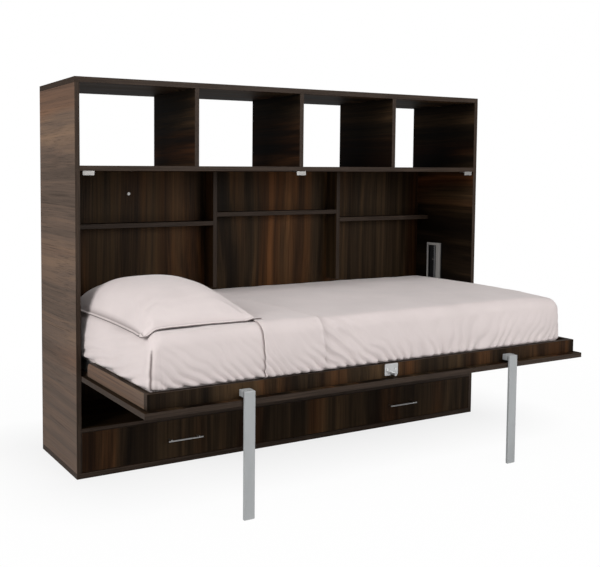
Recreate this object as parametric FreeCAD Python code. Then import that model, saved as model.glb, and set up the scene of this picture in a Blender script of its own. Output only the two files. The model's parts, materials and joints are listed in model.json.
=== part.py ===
"""Side-folding single wall bed: cabinet, tilting bed on two legs, lift gear and a wide drawer.

Millimetres. X runs along the cabinet, -Y points out of the wall, Z is up.
The origin is on the floor, at the middle of the cabinet's back edge.
The bed is drawn lowered, with its legs down and the drawer shut.
"""
import FreeCAD, Part
import math
import os

from FreeCAD import Vector

# Cabinet
CABINET_WIDTH = 2100.0
CABINET_DEPTH = 420.0
CABINET_HEIGHT = 1560.0
SIDE_THICKNESS = 20.0
TOP_THICKNESS = 22.0
CUBBY_CLEAR_HEIGHT = 316.0
CUBBY_FLOOR_THICKNESS = 20.0
CUBBY_DIVIDER_THICKNESS = 20.0
CUBBY_COUNT = 4
WALL_CAVITY = 36.0
BACK_PANEL_THICKNESS = 6.0
BOTTOM_THICKNESS = 22.0
DRAWER_BAY_HEIGHT = 162.0
DRAWER_BAY_TOP_THICKNESS = 14.0
DOWEL_DIAMETER = 8.0
DOWEL_DEPTH = 14.0
DOWEL_EDGE_INSET = 50.0
DOWEL_CLEARANCE = 0.05

# Shelves behind the bed
SHELF_DEPTH = 80.0
SHELF_THICKNESS = 20.0
SHELF_DIVIDER_THICKNESS = 20.0
SHELF_DIVIDER_DROP = 530.0
SIDE_SHELF_DROP = 225.0
CENTRE_SHELF_DROP = 186.0
SHELF_BED_CLEARANCE = 5.0
SHELF_DIVIDER_LEFT_X = -262.0
SHELF_DIVIDER_RIGHT_X = 438.0

# Fixing to the wall
UPPER_WALL_RAIL_HEIGHT = 100.0
UPPER_WALL_RAIL_DROP = 49.0
LOWER_WALL_RAIL_HEIGHT = 90.0
LOWER_WALL_RAIL_RISE = 55.0
WALL_SCREW_DIAMETER = 6.0
WALL_SCREW_HEAD_DIAMETER = 14.0
WALL_SCREW_HEAD_HEIGHT = 3.0
WALL_SCREW_CLEARANCE = 0.05
UPPER_WALL_SCREW_LEFT_X = -658.0
UPPER_WALL_SCREW_RIGHT_X = 468.0
WALL_HOLE_DIAMETER = 7.0
LOWER_WALL_HOLE_OFFSET = 660.0

# Strikers under the cubby floor
STRIKER_WIDTH = 47.0
STRIKER_DROP = 17.0
STRIKER_FOOT = 32.0
STRIKER_SHEET = 3.0
STRIKER_END_INSET = 12.0
STRIKER_SCREW_DIAMETER = 4.0
STRIKER_SCREW_HEAD_DIAMETER = 8.0
STRIKER_SCREW_HEAD_HEIGHT = 1.6
STRIKER_SCREW_LENGTH = 14.0
STRIKER_SCREW_SPACING = 28.0

# Bed, with its face panels lying underneath
BED_HEIGHT = 398.0
BED_REACH = 1032.0
FACE_THICKNESS = 20.0
FACE_SIDE_REVEAL = 4.0
FACE_CLOSED_GAP = 2.0
FACE_REAR_STANDOFF = 45.0
LOWER_FACE_SEAM = 2.0
LOWER_FACE_REAR = 66.0
LOWER_FACE_SIDE_GAP = 24.0
PIVOT_ABOVE_FACE = 80.0
RAIL_THICKNESS = 22.0
RAIL_HEIGHT = 55.0
RAIL_FRONT_LIP = 26.0
RAIL_SIDE_CLEARANCE = 4.0
RAIL_REAR_SETBACK = 12.0
RAIL_REAR_RADIUS = 26.0
REAR_RAIL_THICKNESS = 15.0

# Deck under the mattress
TUBE_SIZE = 20.0
TUBE_WALL = 1.5
CROSS_TUBE_FRONT_INSET = 34.0
CROSS_TUBE_REAR_INSET = 20.0
SLAT_COUNT = 14
SLAT_WIDTH = 70.0
SLAT_THICKNESS = 12.0
SLAT_END_GAP = 2.0

# Mattress, fitted sheet and pillow
SOFT_GAP = 0.3
SHEET_THICKNESS = 1.5
BEDDING_FRONT_GAP = 1.7
BEDDING_END_GAP = 4.7
TOP_SHEET_START_X = -566.0
TOP_SHEET_HEM_RISE = 4.0
MATTRESS_EDGE_HEIGHT = 200.0
MATTRESS_CROWN = 10.0
MATTRESS_EDGE_RADIUS = 40.0
MATTRESS_FOOT_RADIUS = 14.0
MATTRESS_END_RADIUS = 40.0
MATTRESS_END_STEPS = 6
PILLOW_LENGTH = 730.0
PILLOW_WIDTH = 460.0
PILLOW_THICKNESS = 132.0
PILLOW_HEAD_GAP = 4.0
PILLOW_FRONT_GAP = 50.0
PILLOW_RIM = 9.0
PILLOW_WAIST_SHARE = 0.06
PILLOW_SWELL_SHARE = 0.6
PILLOW_STATION_SHARES = (-1.0, -0.97, -0.9, -0.78, -0.6, -0.35, 0.0, 0.35, 0.6, 0.78, 0.9, 0.97, 1.0)

# Pivots of the bed
PIVOT_PIN_DIAMETER = 14.0
PIVOT_CLEARANCE = 0.06
PIVOT_BOSS_DIAMETER = 30.0
PIVOT_PLATE_WIDTH = 64.0
PIVOT_PLATE_HEIGHT = 84.0
PIVOT_PLATE_THICKNESS = 4.0
PIVOT_PLATE_CORNER = 8.0
PIVOT_SCREW_DIAMETER = 5.0
PIVOT_SCREW_HEAD_DIAMETER = 10.0
PIVOT_SCREW_HEAD_HEIGHT = 2.5
PIVOT_SCREW_LENGTH = 14.0
PIVOT_SCREW_INSET = 10.0
PIVOT_SIDE_PLAY = 0.3
PIVOT_CLIP_DIAMETER = 22.0
PIVOT_CLIP_THICKNESS = 1.0
ARM_THICKNESS = 4.0
ARM_HUB_RADIUS = 26.0
ARM_TIP_RADIUS = 13.0
ARM_FOOT_REACH = 300.0
ARM_FOOT_TAIL = 180.0
ARM_FOOT_BASE_GAP = 4.0
ARM_FOOT_TOP_GAP = 5.0

# Lift gear in the two side boxes
LIFT_BOX_WIDTH = 86.0
LIFT_BOX_FRONT = 223.0
LIFT_BOX_DEPTH = 20.0
LIFT_BOX_TOP = 835.0
LIFT_BOX_BOTTOM = 340.0
LIFT_BOX_SHEET = 1.5
LIFT_WINDOW_BAR = 8.5
LIFT_WINDOW_CAP = 12.0
LIFT_ARM_RADIUS = 190.0
LIFT_ARM_START_DEGREES = 45.0
LIFT_PIN_DIAMETER = 10.0
LIFT_SLOT_PLAY_SHARE = 0.0325
LIFT_SLOT_END_GAP = 1.2
LIFT_YOKE_THICKNESS = 4.0
LIFT_YOKE_GAP = 0.5
LIFT_YOKE_RIM = 8.0
LIFT_YOKE_SIDE_GAP = 1.0
LIFT_NECK_WIDTH = 16.0
LIFT_PIN_TIP_GAP = 0.3
LIFT_ROD_DIAMETER = 6.0
LIFT_ROD_CLEARANCE = 0.08
LIFT_ROD_SETBACK = 8.0
LIFT_BOLT_DIAMETER = 9.0
LIFT_BOLT_HEIGHT = 3.0
LIFT_BOLT_SHANK_DIAMETER = 5.0
LIFT_BOLT_SHANK_LENGTH = 12.0
LIFT_BOLT_END_INSET = 87.0
LIFT_BOLT_REAR_SHIFT = 15.0
LIFT_FLANGE_WIDTH = 29.0
LIFT_FLANGE_GAP = 2.0
SPRING_WIRE = 1.8
SPRING_MEAN_DIAMETER = 9.4
SPRING_TURNS = 20
SPRING_SEAT_GAP = 0.3

# Legs
LEG_WIDTH = 43.0
LEG_THICKNESS = 10.0
LEG_OFFSET = 635.0
LEG_SHIFT = -18.0
LEG_TOP_ABOVE_PIVOT = 12.0
LEG_PIVOT_ABOVE_FACE = 19.0
LEG_LIP_GAP = 1.0
LEG_PIN_DIAMETER = 10.0
LEG_PIN_CLEARANCE = 0.06
LEG_PIN_RECESS = 1.0
LEG_BOSS_DIAMETER = 17.0
LEG_BOSS_GAP = 0.3
LEG_BRACKET_DROP = 10.0
LEG_BRACKET_RISE = 13.0
LEG_BRACKET_DEPTH = 24.0
LEG_BRACKET_SHEET = 3.0
LEG_BRACKET_CORNER = 2.0

# Latch on the front rail
LATCH_PLATE_WIDTH = 64.0
LATCH_PLATE_HEIGHT = 45.0
LATCH_PLATE_THICKNESS = 2.5
LATCH_PLATE_CORNER = 4.0
LATCH_PLATE_BASE_GAP = 9.0
LATCH_SCREW_SPACING = 38.0
LATCH_SCREW_DIAMETER = 4.0
LATCH_SCREW_HEAD_DIAMETER = 8.0
LATCH_SCREW_HEAD_HEIGHT = 1.5
LATCH_SCREW_LENGTH = 14.0
LATCH_SCREW_ABOVE_BOLT = 16.0
LATCH_BOLT_DIAMETER = 12.0
LATCH_BOLT_CLEARANCE = 0.08
LATCH_BOLT_ABOVE_FACE = 16.0
LATCH_BOLT_THROW = 30.0
LATCH_BOLT_BEVEL = 3.0

# Drawer
DRAWER_FRONT_THICKNESS = 18.0
DRAWER_FRONT_GAP = 2.0
DRAWER_FRONT_INSET = 1.0
DRAWER_SIDE_THICKNESS = 15.0
DRAWER_SIDE_HEIGHT = 118.0
DRAWER_SIDE_RISE = 12.0
DRAWER_BOX_LENGTH = 345.0
DRAWER_BOTTOM_THICKNESS = 6.0
DRAWER_BOTTOM_RISE = 8.0
HANDLE_OFFSET = 583.0
HANDLE_LENGTH = 160.0
HANDLE_BAR = 5.0
HANDLE_POST_SPACING = 128.0
HANDLE_POST_DIAMETER = 7.0
HANDLE_STANDOFF = 26.0
HANDLE_SCREW_DIAMETER = 4.0
HANDLE_SCREW_HEAD_DIAMETER = 8.0
HANDLE_SCREW_HEAD_HEIGHT = 2.0
RUNNER_DEPTH = 12.0
RUNNER_HEIGHT = 42.0
RUNNER_SHEET = 2.0
RUNNER_SETBACK = 4.0
RUNNER_CLEARANCE = 0.4

OVERRUN = 1.0

# Places worked out from the sizes above
HALF_WIDTH = CABINET_WIDTH / 2
INNER_HALF = HALF_WIDTH - SIDE_THICKNESS
FRONT_Y = -CABINET_DEPTH
BACK_Y = -WALL_CAVITY
SHELF_BACK_Y = BACK_Y - BACK_PANEL_THICKNESS
SHELF_FRONT_Y = SHELF_BACK_Y - SHELF_DEPTH
TOP_LOW = CABINET_HEIGHT - TOP_THICKNESS
CUBBY_FLOOR_TOP = TOP_LOW - CUBBY_CLEAR_HEIGHT
CUBBY_FLOOR_LOW = CUBBY_FLOOR_TOP - CUBBY_FLOOR_THICKNESS
DRAWER_BAY_TOP_LOW = BOTTOM_THICKNESS + DRAWER_BAY_HEIGHT
DRAWER_BAY_TOP = DRAWER_BAY_TOP_LOW + DRAWER_BAY_TOP_THICKNESS
UPPER_WALL_RAIL_TOP = CUBBY_FLOOR_LOW - UPPER_WALL_RAIL_DROP
UPPER_WALL_SCREW_Z = UPPER_WALL_RAIL_TOP - UPPER_WALL_RAIL_HEIGHT / 2
LOWER_WALL_RAIL_LOW = DRAWER_BAY_TOP + LOWER_WALL_RAIL_RISE
LOWER_WALL_HOLE_Z = LOWER_WALL_RAIL_LOW + LOWER_WALL_RAIL_HEIGHT / 2
FACE_TOP = BED_HEIGHT + FACE_THICKNESS
FACE_FRONT_Y = -BED_REACH
FACE_REAR_Y = FRONT_Y - FACE_REAR_STANDOFF
FACE_HALF = HALF_WIDTH - FACE_SIDE_REVEAL
PIVOT_Y = FRONT_Y - FACE_CLOSED_GAP + PIVOT_ABOVE_FACE
PIVOT_Z = FACE_TOP + PIVOT_ABOVE_FACE
RAIL_HALF = INNER_HALF - RAIL_SIDE_CLEARANCE
RAIL_INNER_HALF = RAIL_HALF - RAIL_THICKNESS
RAIL_FRONT_Y = FACE_FRONT_Y + RAIL_FRONT_LIP
RAIL_INNER_Y = RAIL_FRONT_Y + RAIL_THICKNESS
RAIL_REAR_Y = FACE_REAR_Y - RAIL_REAR_SETBACK
RAIL_TOP = FACE_TOP + RAIL_HEIGHT
ARM_INNER_HALF = RAIL_INNER_HALF - ARM_THICKNESS
LOWER_FACE_HALF = INNER_HALF - LOWER_FACE_SIDE_GAP
LOWER_FACE_REAR_Y = -LOWER_FACE_REAR
REAR_RAIL_FRONT_Y = LOWER_FACE_REAR_Y - REAR_RAIL_THICKNESS
TUBE_TOP = FACE_TOP + TUBE_SIZE
DECK_TOP = TUBE_TOP + SLAT_THICKNESS
BEDDING_FRONT_Y = RAIL_INNER_Y + BEDDING_FRONT_GAP
BEDDING_BACK_Y = REAR_RAIL_FRONT_Y - BEDDING_FRONT_GAP
BEDDING_HALF = ARM_INNER_HALF - BEDDING_END_GAP
SHEET_LAYER = SOFT_GAP + SHEET_THICKNESS
BEDDING_LAYERS = 2 * SHEET_LAYER
MATTRESS_LOW = DECK_TOP + SOFT_GAP
MATTRESS_EDGE_TOP = MATTRESS_LOW + MATTRESS_EDGE_HEIGHT
PILLOW_LOW = MATTRESS_EDGE_TOP + MATTRESS_CROWN + BEDDING_LAYERS + SOFT_GAP
PILLOW_CENTRE_X = -BEDDING_HALF - PILLOW_HEAD_GAP + PILLOW_WIDTH / 2
PILLOW_BACK_Y = BEDDING_FRONT_Y + PILLOW_FRONT_GAP + PILLOW_LENGTH
LIFT_SHIFT = LIFT_ARM_RADIUS * math.cos(math.radians(LIFT_ARM_START_DEGREES))
LIFT_RISE = LIFT_ARM_RADIUS * math.sin(math.radians(LIFT_ARM_START_DEGREES))
LIFT_PIN_Y = PIVOT_Y + LIFT_SHIFT
LIFT_PIN_Z = PIVOT_Z + LIFT_RISE
LIFT_FAR_Y = PIVOT_Y + LIFT_ARM_RADIUS
LIFT_BOX_FRONT_Y = -LIFT_BOX_FRONT
LIFT_BOX_BACK_Y = LIFT_BOX_FRONT_Y + LIFT_BOX_WIDTH
LIFT_BOX_HALF = INNER_HALF - LIFT_BOX_DEPTH
LIFT_SLOT_HALF = LIFT_PIN_DIAMETER / 2 + LIFT_ARM_RADIUS * LIFT_SLOT_PLAY_SHARE
LIFT_YOKE_HALF = LIFT_SLOT_HALF + LIFT_YOKE_RIM
YOKE_INNER_X = LIFT_BOX_HALF + LIFT_BOX_SHEET + LIFT_YOKE_GAP
YOKE_OUTER_X = YOKE_INNER_X + LIFT_YOKE_THICKNESS
LIFT_ROD_X = INNER_HALF - LIFT_ROD_SETBACK
LIFT_ROD_Y = (LIFT_BOX_FRONT_Y + LIFT_BOX_BACK_Y) / 2
LEG_PIVOT_Z = FACE_TOP + LEG_PIVOT_ABOVE_FACE
LEG_TOP = LEG_PIVOT_Z + LEG_TOP_ABOVE_PIVOT
LEG_BACK_Y = FACE_FRONT_Y - LEG_LIP_GAP
LEG_FRONT_Y = LEG_BACK_Y - LEG_THICKNESS
LEG_BRACKET_FRONT_Y = RAIL_FRONT_Y - LEG_BRACKET_DEPTH
LATCH_PLATE_LOW = FACE_TOP + LATCH_PLATE_BASE_GAP
LATCH_PLATE_FRONT_Y = RAIL_FRONT_Y - LATCH_PLATE_THICKNESS
LATCH_BOLT_Z = FACE_TOP + LATCH_BOLT_ABOVE_FACE
LATCH_BOLT_TIP_Y = RAIL_FRONT_Y - LATCH_BOLT_THROW
DRAWER_FACE_Y = FRONT_Y + DRAWER_FRONT_INSET
DRAWER_BOX_FRONT_Y = DRAWER_FACE_Y + DRAWER_FRONT_THICKNESS
DRAWER_BOX_BACK_Y = DRAWER_BOX_FRONT_Y + DRAWER_BOX_LENGTH
DRAWER_BOX_HALF = INNER_HALF - RUNNER_DEPTH
DRAWER_BOX_LOW = BOTTOM_THICKNESS + DRAWER_SIDE_RISE
DRAWER_BOX_TOP = DRAWER_BOX_LOW + DRAWER_SIDE_HEIGHT
DRAWER_BOTTOM_TOP = DRAWER_BOX_LOW + DRAWER_BOTTOM_RISE + DRAWER_BOTTOM_THICKNESS
DRAWER_FRONT_LOW = BOTTOM_THICKNESS + DRAWER_FRONT_GAP
DRAWER_FRONT_TOP = DRAWER_BAY_TOP_LOW - DRAWER_FRONT_GAP
HANDLE_Z = (DRAWER_FRONT_LOW + DRAWER_FRONT_TOP) / 2
RUNNER_MIDDLE_Z = DRAWER_BOX_LOW + DRAWER_SIDE_HEIGHT / 2
SIDES = {"left": -1, "right": 1}
RIGHTWARD = Vector(1, 0, 0)
FORWARD = Vector(0, -1, 0)
UPWARD = Vector(0, 0, 1)
FLAT_TOLERANCE = 1e-6


def block(x0, x1, y0, y1, z0, z1):
    """A box between the given planes, each pair in either order."""
    low = Vector(min(x0, x1), min(y0, y1), min(z0, z1))
    return Part.makeBox(abs(x1 - x0), abs(y1 - y0), abs(z1 - z0), low)


def bar(start, axis, length, diameter):
    """A round bar from a start point along a unit axis."""
    return Part.makeCylinder(diameter / 2, length, start, axis)


def bar_along_x(x0, x1, y, z, diameter):
    """A round bar between two X planes."""
    return bar(Vector(min(x0, x1), y, z), RIGHTWARD, abs(x1 - x0), diameter)


def rounded_along(body, axis, radius):
    """The body with its straight edges along one axis rounded."""
    edges = []
    for edge in body.Edges:
        run = edge.tangentAt(edge.FirstParameter)
        if abs(abs(run.dot(axis)) - 1) < FLAT_TOLERANCE:
            edges.append(edge)
    return body.makeFillet(radius, edges)


def fuse(first, *others):
    """One solid out of bodies that touch or cross."""
    return first.fuse(list(others)).removeSplitter()


def save(name, *solids):
    """Write one node's solids to its own file."""
    shape = solids[0] if len(solids) == 1 else Part.makeCompound(list(solids))
    shape.exportStep("parts/" + name + ".step")


def dowel(start, axis, grow):
    """One dowel across the joint at a point, sunk into the board on either side of it."""
    length = 2 * (DOWEL_DEPTH + grow)
    return bar(start - axis * (DOWEL_DEPTH + grow), axis, length, DOWEL_DIAMETER + 2 * grow)


def dowels(grow):
    """Every dowel between the boards and the side panels, grown by a clearance."""
    rows = (FRONT_Y + DOWEL_EDGE_INSET, (FRONT_Y + BACK_Y) / 2, BACK_Y - DOWEL_EDGE_INSET)
    cubby_floor_middle = CUBBY_FLOOR_LOW + CUBBY_FLOOR_THICKNESS / 2
    bay_top_middle = DRAWER_BAY_TOP_LOW + DRAWER_BAY_TOP_THICKNESS / 2
    pins = []
    for side in SIDES.values():
        middle = side * (INNER_HALF + SIDE_THICKNESS / 2)
        for y in rows:
            for z in (cubby_floor_middle, bay_top_middle):
                pins.append(dowel(Vector(side * INNER_HALF, y, z), RIGHTWARD, grow))
            for z in (TOP_LOW, BOTTOM_THICKNESS):
                pins.append(dowel(Vector(middle, y, z), UPWARD, grow))
    return pins


def save_cabinet():
    """Side panels, top, cubby floor, dividers, bottom, drawer bay top and back."""
    holes = dowels(DOWEL_CLEARANCE)
    for name, side in SIDES.items():
        panel = block(side * INNER_HALF, side * HALF_WIDTH, 0.0, FRONT_Y, BOTTOM_THICKNESS, TOP_LOW)
        fixings = pivot_screws(side, DOWEL_CLEARANCE) + lift_bolts(side, DOWEL_CLEARANCE)
        save(name + "_side_panel", panel.cut(holes + fixings))
    top = block(-HALF_WIDTH, HALF_WIDTH, 0.0, FRONT_Y, TOP_LOW, CABINET_HEIGHT)
    save("top_panel", top.cut(holes))
    bottom = block(-HALF_WIDTH, HALF_WIDTH, 0.0, FRONT_Y, 0.0, BOTTOM_THICKNESS)
    save("bottom_panel", bottom.cut(holes))
    floor = block(-INNER_HALF, INNER_HALF, BACK_Y, FRONT_Y, CUBBY_FLOOR_LOW, CUBBY_FLOOR_TOP)
    save("cubby_floor", floor.cut(holes + striker_screws(DOWEL_CLEARANCE)))
    bay_top = block(-INNER_HALF, INNER_HALF, SHELF_BACK_Y, FRONT_Y, DRAWER_BAY_TOP_LOW, DRAWER_BAY_TOP)
    save("drawer_bay_top", bay_top.cut(holes))
    save("cabinet_dowels", *dowels(0.0))
    pitch = (2 * INNER_HALF + CUBBY_DIVIDER_THICKNESS) / CUBBY_COUNT
    for number in range(1, CUBBY_COUNT):
        left = -INNER_HALF + number * pitch - CUBBY_DIVIDER_THICKNESS
        right = left + CUBBY_DIVIDER_THICKNESS
        divider = block(left, right, BACK_Y, FRONT_Y, CUBBY_FLOOR_TOP, TOP_LOW)
        save("cubby_divider_" + str(number), divider)
    back = block(-INNER_HALF, INNER_HALF, BACK_Y, SHELF_BACK_Y, BOTTOM_THICKNESS, CUBBY_FLOOR_LOW)
    save("back_panel", back.cut(wall_screws(WALL_SCREW_CLEARANCE) + lower_wall_holes()))


def bed_room():
    """The space of the lowered bed with a clearance behind and above it, kept free of shelf boards."""
    back = LOWER_FACE_REAR_Y + SHELF_BED_CLEARANCE
    top = MATTRESS_EDGE_TOP + MATTRESS_CROWN + BEDDING_LAYERS + SHELF_BED_CLEARANCE
    return block(-INNER_HALF, INNER_HALF, back, FRONT_Y, BED_HEIGHT - SHELF_BED_CLEARANCE, top)


def save_shelves():
    """Two upright dividers and three shelves in front of the back panel."""
    foot = CUBBY_FLOOR_LOW - SHELF_DIVIDER_DROP
    half = SHELF_DIVIDER_THICKNESS / 2
    centres = {"left": SHELF_DIVIDER_LEFT_X, "right": SHELF_DIVIDER_RIGHT_X}
    for name, x in centres.items():
        upright = block(x - half, x + half, SHELF_BACK_Y, SHELF_FRONT_Y, foot, CUBBY_FLOOR_LOW)
        save(name + "_shelf_divider", upright.cut(bed_room()))
    spans = {
        "left": (-INNER_HALF, SHELF_DIVIDER_LEFT_X - half, SIDE_SHELF_DROP),
        "centre": (SHELF_DIVIDER_LEFT_X + half, SHELF_DIVIDER_RIGHT_X - half, CENTRE_SHELF_DROP),
        "right": (SHELF_DIVIDER_RIGHT_X + half, INNER_HALF, SIDE_SHELF_DROP),
    }
    for name, (start, end, drop) in spans.items():
        top = CUBBY_FLOOR_LOW - drop
        save(name + "_shelf", block(start, end, SHELF_BACK_Y, SHELF_FRONT_Y, top - SHELF_THICKNESS, top))


def wall_screws(grow):
    """The two upper screws that hold the cabinet to the wall, heads on the back panel."""
    screws = []
    for x in (UPPER_WALL_SCREW_LEFT_X, UPPER_WALL_SCREW_RIGHT_X):
        start = Vector(x, 0, UPPER_WALL_SCREW_Z)
        shank = bar(start, FORWARD, -SHELF_BACK_Y, WALL_SCREW_DIAMETER + 2 * grow)
        seat = Vector(x, SHELF_BACK_Y, UPPER_WALL_SCREW_Z)
        head = bar(seat, FORWARD, WALL_SCREW_HEAD_HEIGHT, WALL_SCREW_HEAD_DIAMETER)
        screws.append(fuse(shank, head))
    return screws


def lower_wall_holes():
    """The two open holes for more wall screws, through the lower rail and the back panel."""
    holes = []
    for side in SIDES.values():
        start = Vector(side * LOWER_WALL_HOLE_OFFSET, OVERRUN, LOWER_WALL_HOLE_Z)
        holes.append(bar(start, FORWARD, 2 * OVERRUN - SHELF_BACK_Y, WALL_HOLE_DIAMETER))
    return holes


def save_wall_fixing():
    """Two rails that fill the cavity behind the back panel, and the upper screws."""
    low = UPPER_WALL_RAIL_TOP - UPPER_WALL_RAIL_HEIGHT
    upper = block(-INNER_HALF, INNER_HALF, 0.0, BACK_Y, low, UPPER_WALL_RAIL_TOP)
    save("upper_wall_rail", upper.cut(wall_screws(WALL_SCREW_CLEARANCE)))
    high = LOWER_WALL_RAIL_LOW + LOWER_WALL_RAIL_HEIGHT
    lower = block(-INNER_HALF, INNER_HALF, 0.0, BACK_Y, LOWER_WALL_RAIL_LOW, high)
    save("lower_wall_rail", lower.cut(lower_wall_holes()))
    save("wall_screws", *wall_screws(0.0))


def striker_centres():
    """X of the left, centre and right striker."""
    end = INNER_HALF - STRIKER_END_INSET - STRIKER_WIDTH / 2
    return (-end, 0.0, end)


def striker_screws(grow):
    """Two screws up through each striker's foot into the cubby floor."""
    y = FRONT_Y + STRIKER_FOOT / 2
    seat = CUBBY_FLOOR_LOW - STRIKER_SHEET
    screws = []
    for x in striker_centres():
        for side in SIDES.values():
            place = x + side * STRIKER_SCREW_SPACING / 2
            length = STRIKER_SCREW_LENGTH + grow
            shank = bar(Vector(place, y, seat), UPWARD, length, STRIKER_SCREW_DIAMETER + 2 * grow)
            head_low = Vector(place, y, seat - STRIKER_SCREW_HEAD_HEIGHT)
            head = bar(head_low, UPWARD, STRIKER_SCREW_HEAD_HEIGHT, STRIKER_SCREW_HEAD_DIAMETER)
            screws.append(fuse(shank, head))
    return screws


def save_strikers():
    """Three angles under the front edge of the cubby floor."""
    holes = striker_screws(DOWEL_CLEARANCE)
    strikers = []
    for x in striker_centres():
        left = x - STRIKER_WIDTH / 2
        right = x + STRIKER_WIDTH / 2
        foot_back = FRONT_Y + STRIKER_FOOT
        foot = block(left, right, FRONT_Y, foot_back, CUBBY_FLOOR_LOW - STRIKER_SHEET, CUBBY_FLOOR_LOW)
        flange_back = FRONT_Y + STRIKER_SHEET
        flange = block(left, right, FRONT_Y, flange_back, CUBBY_FLOOR_LOW - STRIKER_DROP, CUBBY_FLOOR_LOW)
        strikers.append(fuse(foot, flange).cut(holes))
    save("strikers", *strikers)


def save_face_panels():
    """The wide front panel and the narrower one behind it, both under the bed."""
    wide = block(-FACE_HALF, FACE_HALF, FACE_FRONT_Y, FACE_REAR_Y, BED_HEIGHT, FACE_TOP)
    save("upper_face_panel", wide)
    seam_y = FACE_REAR_Y + LOWER_FACE_SEAM
    narrow = block(-LOWER_FACE_HALF, LOWER_FACE_HALF, seam_y, LOWER_FACE_REAR_Y, BED_HEIGHT, FACE_TOP)
    save("lower_face_panel", narrow)


def save_bed_rails():
    """Front rail, two short side rails with a rounded end, and the rear rail."""
    front = block(-RAIL_HALF, RAIL_HALF, RAIL_FRONT_Y, RAIL_INNER_Y, FACE_TOP, RAIL_TOP)
    save("front_rail", front.cut(latch_holes()))
    for name, side in SIDES.items():
        rail = block(side * RAIL_INNER_HALF, side * RAIL_HALF, RAIL_INNER_Y, RAIL_REAR_Y, FACE_TOP, RAIL_TOP)
        corner = [edge for edge in rail.Edges if is_rear_top_edge(edge)]
        save(name + "_side_rail", rail.makeFillet(RAIL_REAR_RADIUS, corner))
    rear = block(-ARM_INNER_HALF, ARM_INNER_HALF, LOWER_FACE_REAR_Y, REAR_RAIL_FRONT_Y, FACE_TOP, RAIL_TOP)
    save("rear_rail", rear)


def is_rear_top_edge(edge):
    """Whether an edge is the top one at the rear end of a side rail."""
    middle = edge.CenterOfMass
    return abs(middle.y - RAIL_REAR_Y) < FLAT_TOLERANCE and abs(middle.z - RAIL_TOP) < FLAT_TOLERANCE


def deck_frame():
    """A welded frame of square steel tube: two long side members and three cross members."""
    inner_end = ARM_INNER_HALF - TUBE_SIZE
    rear_y = REAR_RAIL_FRONT_Y - CROSS_TUBE_REAR_INSET
    front_y = RAIL_INNER_Y + CROSS_TUBE_FRONT_INSET + TUBE_SIZE
    floor = FACE_TOP + TUBE_WALL
    ceiling = TUBE_TOP - TUBE_WALL
    solid = []
    hollow = []
    for side in SIDES.values():
        outer = side * ARM_INNER_HALF
        inner = side * inner_end
        solid.append(block(outer, inner, REAR_RAIL_FRONT_Y, RAIL_INNER_Y, FACE_TOP, TUBE_TOP))
        room_outer = outer - side * TUBE_WALL
        room_inner = inner + side * TUBE_WALL
        room_rear = REAR_RAIL_FRONT_Y + OVERRUN
        room_front = RAIL_INNER_Y - OVERRUN
        hollow.append(block(room_outer, room_inner, room_rear, room_front, floor, ceiling))
    for back in (rear_y, (rear_y + front_y) / 2, front_y):
        front = back - TUBE_SIZE
        solid.append(block(-inner_end, inner_end, back, front, FACE_TOP, TUBE_TOP))
        room_back = back - TUBE_WALL
        room_front = front + TUBE_WALL
        hollow.append(block(-inner_end, inner_end, room_back, room_front, floor, ceiling))
    return fuse(*solid).cut(hollow)


def save_deck():
    """The deck frame and the slats laid across it."""
    save("deck_frame", deck_frame())
    pitch = 2 * (ARM_INNER_HALF - TUBE_SIZE) / SLAT_COUNT
    first = -(SLAT_COUNT - 1) / 2 * pitch
    slats = []
    for number in range(SLAT_COUNT):
        left = first + number * pitch - SLAT_WIDTH / 2
        back = REAR_RAIL_FRONT_Y - SLAT_END_GAP
        front = RAIL_INNER_Y + SLAT_END_GAP
        slats.append(block(left, left + SLAT_WIDTH, back, front, TUBE_TOP, DECK_TOP))
    save("deck_slats", *slats)


def mattress_outline(x, inset, grow):
    """One closed outline of the mattress across its width, drawn in near the ends."""
    back = BEDDING_BACK_Y - BEDDING_LAYERS - inset + grow
    front = BEDDING_FRONT_Y + BEDDING_LAYERS + inset - grow
    low = MATTRESS_LOW
    high = MATTRESS_EDGE_TOP - inset + grow
    foot = MATTRESS_FOOT_RADIUS
    top = MATTRESS_EDGE_RADIUS
    bend_share = 1 - math.sqrt(1 / 2)
    foot_bend = foot * bend_share
    top_bend = top * bend_share
    crown = Vector(x, (back + front) / 2, high + MATTRESS_CROWN)

    def at(y, z):
        return Vector(x, y, z)

    def arc(start, middle, end):
        return Part.Arc(start, middle, end).toShape()

    return Part.Wire([
        Part.makeLine(at(front + foot, low), at(back - foot, low)),
        arc(at(back - foot, low), at(back - foot_bend, low + foot_bend), at(back, low + foot)),
        Part.makeLine(at(back, low + foot), at(back, high - top)),
        arc(at(back, high - top), at(back - top_bend, high - top_bend), at(back - top, high)),
        arc(at(back - top, high), crown, at(front + top, high)),
        arc(at(front + top, high), at(front + top_bend, high - top_bend), at(front, high - top)),
        Part.makeLine(at(front, high - top), at(front, low + foot)),
        arc(at(front, low + foot), at(front + foot_bend, low + foot_bend), at(front + foot, low)),
    ])


def mattress_form(grow):
    """The mattress as a closed form, with every face but the bottom grown outward."""
    half = BEDDING_HALF - BEDDING_LAYERS + grow
    stations = []
    for step in range(MATTRESS_END_STEPS + 1):
        turn = math.pi / 2 * step / MATTRESS_END_STEPS
        draw_in = MATTRESS_END_RADIUS * (1 - math.cos(turn))
        stations.append((half - draw_in, MATTRESS_END_RADIUS * (1 - math.sin(turn))))
    outlines = [mattress_outline(-x, inset, grow) for x, inset in stations]
    outlines += [mattress_outline(x, inset, grow) for x, inset in reversed(stations)]
    return Part.makeLoft(outlines, True, True)


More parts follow.
